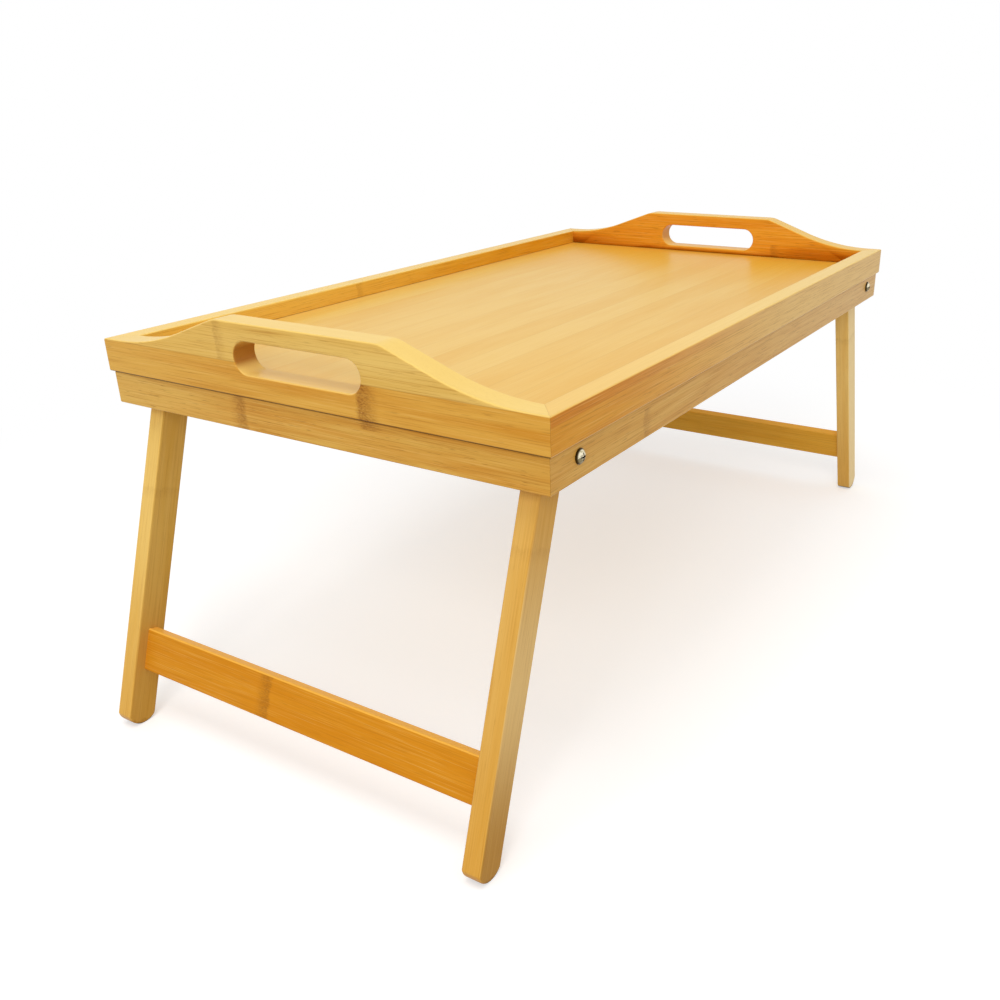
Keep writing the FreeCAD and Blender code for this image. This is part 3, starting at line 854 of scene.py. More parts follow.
def swept_section(name: str, rim: Sequence[RimPoint], starts: Place, ends: Place) -> Object:
    """Strip of one section, run from one end surface to another.

    Args:
        name: the object's name.
        rim: outline of the section.
        starts: where a point of the section starts, in millimetres.
        ends: where it ends.

    Returns:
        The strip.
    """
    shape = bmesh.new()
    rings = [[shape.verts.new(limit(point.at.x, point.at.y, 0) * MM) for point in rim]
             for limit in (starts, ends)]
    close_ring(shape, rings)
    for ring in rings:
        shape.faces.new(ring)
    return mesh_object(name, shape)


def mitred_strip(name: str, section: Sequence[RimPoint], member: Member,
                 reach: Callable[[float], float]) -> Object:
    """Strip along one end or side of the tray, with mirrored ends.

    Args:
        name: the object's name.
        section: its outline, over the distance from the tray's middle and the height.
        member: the end or side that it lies along.
        reach: how far a point of the section runs each way, by its distance from the middle.

    Returns:
        The strip.
    """
    def limit(way: int) -> Place:
        """Where a point of the section lies at one end of the strip."""
        if isinstance(member, End):
            return lambda out, z, _: Vector((member.value * out, way * reach(out), z))
        return lambda out, z, _: Vector((way * reach(out), member.value * out, z))

    return swept_section(name, section, limit(-1), limit(1))


def lathed(name: str, profile: Sequence[tuple[float, float]], steps: int) -> Object:
    """Turned piece about +Z, from (radius, height) points that start and end on the axis.

    Args:
        name: the object's name.
        profile: the points, in millimetres.
        steps: facets round the axis.

    Returns:
        The turned piece.
    """
    shape = bmesh.new()
    rings = []
    for radius, height in profile:
        rings.append([shape.verts.new(Vector((
            radius * math.cos(math.tau * step / steps),
            radius * math.sin(math.tau * step / steps), height)) * MM) for step in range(steps)])
    close_ring(shape, rings)
    return mesh_object(name, shape)


def baked(piece: Object) -> Mesh:
    """Work out the plain mesh that an object's modifiers make.

    Args:
        piece: the object.

    Returns:
        The new mesh.
    """
    bpy.context.view_layer.update()
    evaluated = piece.evaluated_get(bpy.context.evaluated_depsgraph_get())
    return bpy.data.meshes.new_from_object(evaluated)


def carved(piece: Object, cutter: Object) -> Object:
    """Take one closed shape out of another and remove the cutter.

    Args:
        piece: what is cut.
        cutter: what is taken away.

    Returns:
        The piece, with its new mesh.
    """
    piece.modifiers.clear()
    cut = piece.modifiers.new("cut", "BOOLEAN")
    cut.operation = "DIFFERENCE"
    cut.solver = "EXACT"
    cut.object = cutter
    piece.data = baked(piece)
    piece.modifiers.clear()
    bpy.data.objects.remove(cutter)
    smooth_arcs(piece)
    return piece


def box_piece(name: str, low: Vector, high: Vector) -> Object:
    """Plain box, for carving.

    Args:
        name: the object's name.
        low: its lowest corner, in millimetres.
        high: its highest corner.

    Returns:
        The box.
    """
    shape = bmesh.new()
    size = high - low
    matrix = Matrix.Translation((low + high) / 2 * MM) @ Matrix.Diagonal((*(size * MM), 1))
    bmesh.ops.create_cube(shape, size=1, matrix=matrix)
    return mesh_object(name, shape)


def set_out(piece: Object, finish: Material, body: str,
            nodes: Sequence[str]) -> None:
    """Dress a finished piece and seat it in the frame.

    Args:
        piece: the object, in its place.
        finish: its material.
        body: the body that it rides on.
        nodes: the CAD nodes that it stands for.
    """
    piece.data.materials.clear()
    piece.data.materials.append(finish)
    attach(piece, body)
    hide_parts(*nodes)
    log.info("%s: %d faces on %s, for %s", piece.name, len(piece.data.polygons), body, ", ".join(nodes))


# --- tray -------------------------------------------------------------------------------
@dataclass
class TrayRim:
    """Two handle boards and two side rails, mitred and grooved for the panel."""

    top_length: float = 112.5
    slope: float = math.radians(20.0)
    sweep_radius: float = 155.0
    crown_radius: float = 20.0
    slot_length: float = 86.5
    slot_height: float = 17.5
    grip_height: float = 9.5
    ease: float = 1.0
    groove_depth: float = 4.0
    groove_headroom: float = 0.3
    mitre_gap: float = 0.05
    cutter_margin: float = 3.0

    def build(self) -> None:
        """Build and dress the four boards."""
        for end in End:
            self.handle_board(end)
        for side in Side:
            self.side_rail(side)

    def _groove(self) -> NodeBox:
        """Find the room inside the groove, from the panel and the boards.

        Returns:
            The box that the groove reaches out to.
        """
        panel = NodeBox.of("tray_panel")
        board = NodeBox.of("handle_board_right")
        rail = NodeBox.of("side_rail_back")
        reach = Vector((board.low.x + self.groove_depth, rail.low.y + self.groove_depth,
                        panel.high.z + self.groove_headroom))
        return NodeBox(Vector((-reach.x, -reach.y, panel.low.z)), reach)

    def handle_board(self, end: End) -> None:
        """Build one handle board.

        Args:
            end: the tray's end.
        """
        node = f"handle_board_{end.key}"
        box = NodeBox.of(f"handle_board_{End.RIGHT.key}")
        rail = NodeBox.of("side_rail_back")
        half_width, bottom, top = box.high.y, box.low.z, box.high.z
        mitre_run = (rail.high.y - rail.low.y) / (box.high.x - box.low.x)
        foot = self.top_length / 2 + (top - rail.high.z) / math.tan(self.slope)
        half = [Corner(half_width, bottom, upright=True), Corner(half_width, rail.high.z, upright=True),
                Corner(foot, rail.high.z, self.sweep_radius),
                Corner(self.top_length / 2, top, self.crown_radius)]
        mirrored = [Corner(-c.u, c.v, c.radius, c.upright) for c in reversed(half)]
        high = top - self.grip_height
        run = self.slot_length / 2
        hole = rectangle(-run, high - self.slot_height, run, high, self.slot_height / 2)

        def place(y: float, z: float, depth: float) -> Vector:
            """Point of the board, held back to its mitre."""
            limit = half_width - (box.high.x - depth) * mitre_run - self.mitre_gap
            return Vector((end.value * depth, max(-limit, min(limit, y)), z))

        board = eased_prism(node + "_wood", outline(half + mirrored), box.low.x, box.high.x,
                            self.ease, place, [outline(hole)])
        groove = self._groove()
        inside, outside = box.low.x - self.cutter_margin, groove.high.x
        xs = sorted((end.value * inside, end.value * outside))
        reach = half_width + self.cutter_margin
        cutter = box_piece("groove", Vector((xs[0], -reach, groove.low.z)),
                           Vector((xs[1], reach, groove.high.z)))
        board = carved(board, cutter)
        set_out(board, HANDLE_FINISHES[end].material(), "tray", [node])

    def side_rail(self, side: Side) -> None:
        """Build one side rail.

        Args:
            side: the tray's side.
        """
        node = f"side_rail_{side.key}"
        box = NodeBox.of(f"side_rail_{Side.BACK.key}")
        board = NodeBox.of("handle_board_right")
        groove = self._groove()
        inner, outer = box.low.y, box.high.y
        bottom, top = box.low.z, box.high.z
        section = [Corner(inner, bottom), Corner(outer, bottom, self.ease), Corner(outer, top, self.ease),
                   Corner(inner, top, self.ease), Corner(inner, groove.high.z),
                   Corner(groove.high.y, groove.high.z), Corner(groove.high.y, groove.low.z),
                   Corner(inner, groove.low.z)]
        mitre_run = (board.high.x - board.low.x) / (outer - inner)
        rail = mitred_strip(node + "_wood", outline(section), side,
                            lambda y: board.high.x - (outer - y) * mitre_run - self.mitre_gap)
        set_out(rail, RAIL_FINISHES[side].material(), "tray", [node])


@dataclass
class TrayPanel:
    """The thin board that the rim holds."""

    arris: float = 0.2

    def build(self) -> None:
        """Build and dress the panel."""
        box = NodeBox.of("tray_panel")
        corners = rectangle(box.low.x, box.low.y, box.high.x, box.high.y)
        panel = eased_prism("tray_panel_board", outline(corners), box.low.z, box.high.z, self.arris,
                            lambda x, y, z: Vector((x, y, z)))
        set_out(panel, PANEL_FINISH.material(), "tray", ["tray_panel"])


@dataclass
class ApronFrame:
    """Four mitred strips under the rim, with a bolt hole at every pivot."""

    ease: float = 0.9
    mitre_gap: float = 0.05
    bore_radius: float = 1.8
    bore_steps: int = 48
    cutter_margin: float = 3.0

    def build(self) -> None:
        """Build and dress the four aprons."""
        for end in End:
            self.end_apron(end)
        for side in Side:
            self.side_apron(side)

    def _section(self, inner: float, outer: float, bottom: float, top: float) -> list[RimPoint]:
        """Section of an apron, rounded where it shows."""
        return outline([Corner(inner, bottom, self.ease), Corner(outer, bottom, self.ease),
                        Corner(outer, top, self.ease), Corner(inner, top)])

    def end_apron(self, end: End) -> None:
        """Build one end apron.

        Args:
            end: the tray's end.
        """
        node = f"end_apron_{end.key}"
        box = NodeBox.of(f"end_apron_{End.RIGHT.key}")
        strip = mitred_strip(node + "_wood", self._section(box.low.x, box.high.x, box.low.z, box.high.z),
                             end, lambda x: box.high.y - self.mitre_gap - (box.high.x - x))
        set_out(strip, END_APRON_FINISHES[end].material(), "tray", [node])

    def side_apron(self, side: Side) -> None:
        """Build one side apron and drill its two bolt holes.

        Args:
            side: the tray's side.
        """
        node = f"side_apron_{side.key}"
        box = NodeBox.of(f"side_apron_{Side.BACK.key}")
        strip = mitred_strip(node + "_wood", self._section(box.low.y, box.high.y, box.low.z, box.high.z),
                             side, lambda y: box.high.x - self.mitre_gap - (box.high.y - y))
        beyond = box.high.y + self.cutter_margin
        before = box.low.y - self.cutter_margin
        for end in End:
            hinge = LegHinge.of(end)
            profile = [(0, before), (self.bore_radius, before), (self.bore_radius, beyond), (0, beyond)]
            drill = lathed("drill", profile, self.bore_steps)
            drill.data.transform(across_tray(side, hinge))
            drill.data.update()
            strip = carved(strip, drill)
        set_out(strip, SIDE_APRON_FINISHES[side].material(), "tray", [node])


def across_tray(side: Side, hinge: LegHinge) -> Matrix:
    """Turn a part that stands along +Z at the origin to point out of one side at a hinge.

    Args:
        side: the tray's side.
        hinge: the hinge that it lies on.

    Returns:
        The transform, in metres.
    """
    turn = Matrix.Rotation(-side.value * math.pi / 2, 4, "X")
    return Matrix.Translation(Vector((hinge.x, 0, hinge.z)) * MM) @ turn


# --- leg frames -------------------------------------------------------------------------
@dataclass
class LegFrame:
    """Two legs and the stretcher between them."""

    end: End
    reach: float = 203.0
    foot_radius: float = 10.0
    foot_corner: float = 2.0
    ease: float = 1.2
    bore_radius: float = 1.8
    stretcher_height: float = 25.7
    stretcher_thickness: float = 7.0
    stretcher_setback: float = 6.5
    stretcher_lift: float = 25.2
    stretcher_ease: float = 1.0
    width: float = 18.0
    foot_facets: int = 12

    def __post_init__(self) -> None:
        """Read the hinge that the frame hangs on."""
        self.hinge = LegHinge.of(self.end)

    def build(self) -> None:
        """Build and dress the legs and the stretcher."""
        for side in Side:
            self.leg(side)
        self.stretcher()

    def open_out(self, across: float, down: float, y: float) -> Vector:
        """Carry a point of a plumb right-hand leg to its place on the opened frame.

        Args:
            across: from the leg's middle line towards the tray's end.
            down: height against the pivot, so negative below it.
            y: place across the tray.

        Returns:
            The point in the frame, in millimetres.
        """
        cos, sin = math.cos(self.hinge.splay), math.sin(self.hinge.splay)
        x = across * cos - down * sin
        z = across * sin + down * cos
        return Vector((self.hinge.x + self.end.value * x, y, self.hinge.z + z))

    def leg(self, side: Side) -> None:
        """Build one leg.

        Args:
            side: the tray's side.
        """
        node = f"leg_{side.key}_{self.end.key}"
        box = NodeBox.of(node)
        half = self.width / 2
        depth = math.sqrt(self.foot_radius ** 2 - half ** 2)
        rim = outline([Corner(half, half, half), Corner(-half, half, half),
                       *self._foot(-self.reach - depth)])
        bore = outline(circle(self.bore_radius))
        leg = eased_prism(node + "_wood", rim, box.low.y, box.high.y, self.ease,
                          lambda u, v, y: self._on_floor(self.open_out(u, v, y)), [bore])
        set_out(leg, leg_finish(side, self.end).material(), f"{self.end.key}_legs", [node])

    def _foot(self, arc_start: float) -> list[Corner]:
        """Cut the arched foot to facets.

        Args:
            arc_start: height at which the arch meets the leg's sides, against the pivot.

        Returns:
            Its corners, from the inward side to the outward one.
        """
        half = self.width / 2
        spread = math.asin(half / self.foot_radius)
        corners = [Corner(-half, arc_start, self.foot_corner)]
        for step in range(1, self.foot_facets):
            angle = -spread + 2 * spread * step / self.foot_facets
            corners.append(Corner(self.foot_radius * math.sin(angle),
                                  -self.reach - self.foot_radius * math.cos(angle)))
        corners.append(Corner(half, arc_start, self.foot_corner))
        return corners

    @staticmethod
    def _on_floor(point: Vector) -> Vector:
        """Flatten the foot where it has worn level with the floor."""
        return Vector((point.x, point.y, max(point.z, 0.0)))

    def stretcher(self) -> None:
        """Build the stretcher."""
        node = f"stretcher_{self.end.key}"
        box = NodeBox.of(node)
        outward = self.width / 2 - self.stretcher_setback
        inward = outward - self.stretcher_thickness
        low = -self.reach + self.stretcher_lift
        section = outline(rectangle(inward, low, outward, low + self.stretcher_height, self.stretcher_ease))
        bar = swept_section(node + "_wood", section,
                            lambda u, v, _: self.open_out(u, v, box.low.y),
                            lambda u, v, _: self.open_out(u, v, box.high.y))
        set_out(bar, STRETCHER_FINISHES[self.end].material(), f"{self.end.key}_legs", [node])


# --- finishes of this table's own boards ------------------------------------------------
RIM_GLUE_LINE = 227.5          # height of the glue line that runs along both handle boards
RIM_FOOT = 208.94              # height at which the rim lies on the apron frame
# painted shade in the joint where the rim lies on the apron
END_SEAM_SHADE = Seam(RIM_FOOT)
SIDE_SEAM_SHADE = Seam(RIM_FOOT, tone="7A5218", strength=0.55)
# painted highlight on the rails' lower arris at that joint
ARRIS_HIGHLIGHT = Seam(RIM_FOOT, tone="F2CE8E", strength=0.7)
# a dark line along the foot's lowest, turning edges
FOOT_DARK_LINE = Seam(0.0, 2.4, "4E4A1E", 0.75)
HANDLE_FINISHES = {
    End.LEFT: LacqueredBamboo(
        "handle_bamboo_left", Grain.ACROSS_TRAY, body="E0AA48", warm="D08C28",
        upper=Lamina(RIM_GLUE_LINE, "E8C16A", "DEB257"), drifts=(Drift(-20.0, 130.0, "E6B655", 0.5),),
        edge_strength=0.75, strip_start=RIM_GLUE_LINE, strip_width=30.0, strip_contrast=0.1,
        fibre_strength=0.45, dash_strength=0.3, seed=2.0, seam=END_SEAM_SHADE,
        knuckles=(Knuckle(-40.0, 200.0, RIM_GLUE_LINE, -15.0, 0.85),
                  Knuckle(56.0, RIM_GLUE_LINE, 250.0, -9.0, 0.3))),
    End.RIGHT: LacqueredBamboo(
        "handle_bamboo_right", Grain.ACROSS_TRAY, body="EAA42C", warm="E29120",
        upper=Lamina(RIM_GLUE_LINE, "E89F2C", "E29020"), edge_strength=0.75,
        edge="F8CF64", end_grain="DDAA58", strip_start=RIM_GLUE_LINE, strip_width=30.0,
        strip_contrast=0.1, seed=4.0, seam=END_SEAM_SHADE,
        knuckles=(Knuckle(-60.0, 200.0, RIM_GLUE_LINE, -10.0, 0.4),))}
RAIL_FINISHES = {
    Side.FRONT: LacqueredBamboo(
        "rail_bamboo_front", Grain.ALONG_TRAY, body="E4A02A", warm="DC901C",
        # paler towards the far end: partly painted sheen, partly the wood's own tone
        upper=Lamina(222.6, "DE8E1C", "D07C12"), drifts=(Drift(-250.0, 60.0, "EEC674", 0.85),),
        edge_strength=0.75, strip_start=190.0, strip_width=60.0, dash_strength=0.4, seed=8.0,
        seam=ARRIS_HIGHLIGHT),
    Side.BACK: LacqueredBamboo(
        "rail_bamboo_back", Grain.ALONG_TRAY, body="EDB034", warm="E59E1C", edge_strength=0.75,
        drifts=(Drift(110.0, -150.0, "F4C558", 0.85),),
        strip_start=190.0, strip_width=60.0, seed=10.0, seam=ARRIS_HIGHLIGHT,
        knuckles=(Knuckle(-60.0, 200.0, 230.0, 9.0, 0.3),))}
PANEL_FINISH = LacqueredBamboo(
    "panel_bamboo", Grain.ALONG_TRAY, body="F0C668", warm="ECBB56",
    # more orange towards the far end: painted reflection of the far handle board
    drifts=(Drift(60.0, 245.0, "F0B02E", 0.8),), fibre="DCA752",
    fibre_strength=0.2, light_fibre="F5D48F", dash="C48A3A", dash_strength=0.12,
    cloud_width=16.0, strip_cross=Cross.FLAT, strip_width=20.5, strip_start=4.0,
    strip_contrast=0.55, seed=21.0, glue_strength=0.12)
END_APRON_FINISHES = {
    end: LacqueredBamboo(
        f"end_apron_bamboo_{end.key}", Grain.ACROSS_TRAY, body="DFB154", warm="CF8E30",
        drifts=(Drift(-20.0, 130.0, "E3B65C", 0.5),), strip_start=180.0, strip_width=60.0,
        dash_strength=0.6, seed=31.0 + end.value, seam=END_SEAM_SHADE,
        knuckles=(Knuckle(42.0, 180.0, 210.0, 13.0, 0.6), Knuckle(-40.0, 204.0, 210.0, -15.0, 0.6)))
    for end in End}
SIDE_APRON_FINISHES = {
    side: LacqueredBamboo(
        f"side_apron_bamboo_{side.key}", Grain.ALONG_TRAY, body="DEAB52", warm="D08F30",
        # paler towards the far end: partly painted sheen, partly the wood's own tone
        drifts=(Drift(-230.0, 230.0, "E3B66A", 0.8),), strip_start=180.0, strip_width=60.0,
        seed=41.0 + side.value, seam=SIDE_SEAM_SHADE,
        knuckles=(Knuckle(35.0 + 200.0 * side.value, 180.0, 206.0, 10.0, 0.35),))
    for side in Side}
STRETCHER_TONES = {End.LEFT: ("DA9120", "D28412"), End.RIGHT: ("EBB344", "E1A334")}
STRETCHER_KNUCKLES = {End.LEFT: 20.0, End.RIGHT: 95.0}
STRETCHER_FINISHES = {
    end: LacqueredBamboo(
        f"stretcher_bamboo_{end.key}", Grain.ACROSS_TRAY, *STRETCHER_TONES[end],
        # painted light on the stretcher's faces that look up
        fibre_strength=0.35, dash_strength=0.25, edge="FBBE50", edge_strength=0.9, shine=0.04,
        strip_start=-100.0, strip_width=400.0, seed=51.0 + end.value,
        knuckles=(Knuckle(STRETCHER_KNUCKLES[end], 0.0, 80.0, 12.0, 0.6),))
    for end in End}


LEG_END = 213.0                # pivot to the tip of the foot, along the leg
LEG_TONES = {                  # body, warm, and the painted shade that the broad faces keep of them
    (End.LEFT, Side.BACK): ("EDC46C", "E4B552", "E6E0D0"),
    (End.LEFT, Side.FRONT): ("E0AF5A", "D9A245", "F8F4EE"),
    # the right front leg's paler tones are partly painted light, lifting the shade under the tray
    (End.RIGHT, Side.FRONT): ("F4CE7C", "EDC068", "FFFFFF"),
    (End.RIGHT, Side.BACK): ("EBC067", "E2B04C", "F4F0E6")}
LEG_PAINTED_REFLECTIONS = {                 # painted reflection: the broad faces pale down the leg and darken at its foot
    (End.LEFT, Side.FRONT): (Drift(20.0, 100.0, "EECB88", 0.9, True),
                             Drift(115.0, 200.0, "B47E18", 0.85, True)),
    (End.RIGHT, Side.FRONT): (Drift(-20.0, 0.0, "FFE2A0", 0.85, True),)}


def leg_finish(side: Side, end: End) -> LacqueredBamboo:
    """Finish of one leg: its own seed and knuckle, and a foot that grows darker towards its end.

    Args:
        side: the tray's side.
        end: the tray's end.

    Returns:
        The finish.
    """
    grain = Grain.DOWN_LEFT_LEG if end is End.LEFT else Grain.DOWN_RIGHT_LEG
    body, warm, broad = LEG_TONES[end, side]
    return LacqueredBamboo(
        f"leg_bamboo_{side.key}_{end.key}", grain, body=body, warm=warm, broad=broad,
        # darker towards the foot
        drifts=(Drift(80.0, 200.0, "D89C3A", 0.6), *LEG_PAINTED_REFLECTIONS.get((end, side), ())),
        fibre_strength=0.3, dash_strength=0.2, shine=0.05, seam=FOOT_DARK_LINE,
        strip_cross=Cross.FLAT, strip_start=-400.0, strip_width=260.0,
        seed=61.0 + 2 * side.value + end.value,
        knuckles=(Knuckle(56.0 + 10 * side.value, -200.0, 200.0, 8.0, 0.13),
                  Knuckle(LEG_END - 2.5, -200.0, 200.0, 9.0, 0.5)))


# --- hardware ---------------------------------------------------------------------------
class PlacedCopies:
    """Geometry Nodes tree that sets one copy of a part at every place of a point cloud."""

    TURN = "turn"

    def __init__(self) -> None:
        """Build the tree with its named inputs."""
        self.tree = bpy.data.node_groups.new("placed_copies", "GeometryNodeTree")
        sockets = self.tree.interface
        sockets.new_socket("Places", in_out="INPUT", socket_type="NodeSocketGeometry")
        self.part = sockets.new_socket("Part", in_out="INPUT", socket_type="NodeSocketObject")
        self.finish = sockets.new_socket("Finish", in_out="INPUT", socket_type="NodeSocketMaterial")
        sockets.new_socket("Copies", in_out="OUTPUT", socket_type="NodeSocketGeometry")
        given = add_node(self.tree, "NodeGroupInput")
        source = add_node(self.tree, "GeometryNodeObjectInfo", {"Object": given.outputs["Part"]})
        turn = add_node(self.tree, "GeometryNodeInputNamedAttribute", {"Name": self.TURN},
                        data_type="FLOAT_VECTOR")
        copies = add_node(self.tree, "GeometryNodeInstanceOnPoints", {
            "Points": given.outputs["Places"], "Instance": source.outputs["Geometry"],
            "Rotation": turn})
        real = add_node(self.tree, "GeometryNodeRealizeInstances", {"Geometry": copies})
        dressed = add_node(self.tree, "GeometryNodeSetMaterial", {
            "Geometry": real, "Material": given.outputs["Finish"]})
        add_node(self.tree, "NodeGroupOutput", {"Copies": dressed})

    def make(self, name: str, part: Object, finish: Material,
             places: Sequence[tuple[Vector, Vector]]) -> Object:
        """Set copies of a part out and bake them to one plain mesh.

        Args:
            name: the new object's name.
            part: the part, standing along +Z at the origin; it is removed.
            finish: the copies' material.
            places: a point in millimetres and Euler angles for each copy.

        Returns:
            The object that holds all the copies.
        """
        cloud = bpy.data.meshes.new(name)
        cloud.from_pydata([tuple(spot * MM) for spot, _ in places], [], [])
        turns = cloud.attributes.new(self.TURN, "FLOAT_VECTOR", "POINT")
        for item, (_, turn) in zip(turns.data, places):
            item.vector = turn
        piece = linked(name, cloud)
        nodes = piece.modifiers.new("copies", "NODES")
        nodes.node_group = self.tree
        nodes[self.part.identifier] = part
        nodes[self.finish.identifier] = finish
        piece.data = baked(piece)
        piece.modifiers.clear()
        bpy.data.objects.remove(part)
        smooth_arcs(piece)
        return piece


@dataclass
class PivotHardware:
    """Bolt, spacer ring, washer and lock nut at each of the four pivots."""

    copies: PlacedCopies
    bolt_radius: float = 1.75
    head_radius: float = 3.9
    head_side: float = 0.6
    head_height: float = 2.6
    washer_bore: float = 1.8
    nut_flats: float = 6.0
    nut_hex_height: float = 3.2
    nut_collar_wall: float = 0.8
    thread_pitch: float = 0.6
    thread_depth: float = 0.2
    facets: int = 48
    cross_width: float = 0.8
    cross_reach: float = 1.95
    cross_depth: float = 1.1
    dome_steps: int = 10
    nut_corner: float = 0.2
    nut_ease: float = 0.3
    collar_chamfer: float = 0.4
    rim_grime: float = 1.35        # below the crown, where painted shadow starts on the head's rim
    cross_grime: float = 0.45      # below the crown, where its cross does
    brow: float = 0.1

    def build(self) -> None:
        """Build and dress the four sets."""
        places = [(side, LegHinge.of(end)) for side in Side for end in End]
        names = [f"{side.key}_{end.key}" for side in Side for end in End]
        top = NodeBox.of("pivot_bolt_back_right").high.y
        hinge = LegHinge.of(End.RIGHT)
        # painted shadow at the heads' rims and crosses, and a painted dark reflection on their lower parts
        grime = Grime(top - self.rim_grime, top - self.cross_grime, self.cross_reach,
                      Vector((hinge.x, 0, hinge.z)), self.brow)
        nickel = PlatedSteel("bright_nickel", "F4EACB", "8C8048", 0.16, grime).material()
        zinc = PlatedSteel("zinc_plate", "C9CBC8", "A9ABA6", 0.3).material()
        nylon = MouldedNylon().material()
        for name, slot, finish, part in (
                ("pivot_bolt", "bolt_steel", nickel, self.bolt()),
                ("leg_spacer", "spacer_plastic", nylon, self.ring("leg_spacer")),
                ("nut_washer", "nut_steel", zinc, self.ring("nut_washer")),
                ("lock_nut", "nut_steel", zinc, self.nut())):
            spots = [(Vector((hinge.x, 0, hinge.z)), Vector((-side.value * math.pi / 2, 0, 0)))
                     for side, hinge in places]
            made = self.copies.make(f"{name}s", part, finish, spots)
            set_out(made, finish, "tray", [f"{name}_{place}" for place in names])

    def bolt(self) -> Object:
        """Turn a bolt about +Z at its distance from the tray's middle, and cut its cross.

        Returns:
            The bolt.
        """
        box = NodeBox.of("pivot_bolt_back_right")
        top, tip = box.high.y, box.low.y
        seat = top - self.head_height
        rise = self.head_height - self.head_side
        sphere = (self.head_radius ** 2 + rise ** 2) / (2 * rise)
        spread = math.asin(self.head_radius / sphere)
        angles = [spread * step / self.dome_steps for step in range(self.dome_steps, 0, -1)]
        dome = [(sphere * math.sin(angle), top - sphere * (1 - math.cos(angle))) for angle in angles]
        nut = NodeBox.of("lock_nut_back_right")
        threads = []
        height = nut.low.y
        while height > tip + self.thread_pitch:
            threads += [(self.bolt_radius, height),
                        (self.bolt_radius - self.thread_depth, height - self.thread_pitch / 2)]
            height -= self.thread_pitch
        chamfer = self.thread_pitch / 2
        profile = [(0, tip), (self.bolt_radius - chamfer, tip), (self.bolt_radius, tip + chamfer)]
        profile += sorted(threads, key=lambda point: point[1])
        profile += [(self.bolt_radius, seat), (self.head_radius, seat), *dome, (0, top)]
        bolt = lathed("bolt_part", profile, self.facets)
        return carved(bolt, self.cross(top))

    def cross(self, top: float) -> Object:
        """Make a plus-shaped cutter for a screw head.

        Args:
            top: height of the head's crown.

        Returns:
            The cutter.
        """
        wide, far = self.cross_width / 2, self.cross_reach
        arm = [(far, -wide), (far, wide), (wide, wide)]
        corners = []
        for quarter in range(4):
            turn = Matrix.Rotation(quarter * math.pi / 2, 2)
            corners += [Corner(*(turn @ Vector(point))) for point in arm]
        return eased_prism("cross", outline(corners), top - self.cross_depth, top + self.cross_depth,
                           self.cross_width / 8, lambda u, v, z: Vector((u, v, z)))

    def ring(self, node: str) -> Object:
        """Turn a flat ring to the size of a node's box.

        Args:
            node: the node's name, without its place.

        Returns:
            The ring.
        """
        box = NodeBox.of(f"{node}_back_right")
        radius = (box.high.x - box.low.x) / 2
        low, high = box.low.y, box.high.y
        arris = (high - low) / 5
        profile = [(self.washer_bore, low), (radius - arris, low), (radius, low + arris),
                   (radius, high - arris), (radius - arris, high), (self.washer_bore, high),
                   (self.washer_bore, low)]
        return lathed(f"{node}_part", profile, self.facets)

    def nut(self) -> Object:
        """Make a lock nut: a chamfered hexagon with a turned collar.

        Returns:
            The nut.
        """
        box = NodeBox.of("lock_nut_back_right")
        high = box.high.y
        hex_low = high - self.nut_hex_height
        corner_radius = self.nut_flats / math.sqrt(3)
        hexagon = [Corner(corner_radius * math.cos(math.tau * step / 6),
                          corner_radius * math.sin(math.tau * step / 6), self.nut_corner)
                   for step in range(6)]
        body = eased_prism("nut_part", outline(hexagon), hex_low, high, self.nut_ease,
                           lambda u, v, z: Vector((u, v, z)), [outline(circle(self.washer_bore))])
        wall = self.bolt_radius + self.nut_collar_wall
        profile = [(self.washer_bore, hex_low), (wall, hex_low), (wall, box.low.y + self.collar_chamfer),
                   (wall - self.collar_chamfer, box.low.y), (self.washer_bore, box.low.y),
                   (self.washer_bore, hex_low)]
        collar = lathed("collar_part", profile, self.facets)
        return joined(body, collar)


def joined(first: Object, second: Object) -> Object:
    """Put a second object's mesh into the first, and remove the second.

    Args:
        first: the object that is kept.
        second: the one that goes.

    Returns:
        The first object.
    """
    shape = bmesh.new()
    shape.from_mesh(first.data)
    shape.from_mesh(second.data)
    shape.to_mesh(first.data)
    shape.free()
    bpy.data.objects.remove(second)
    return first


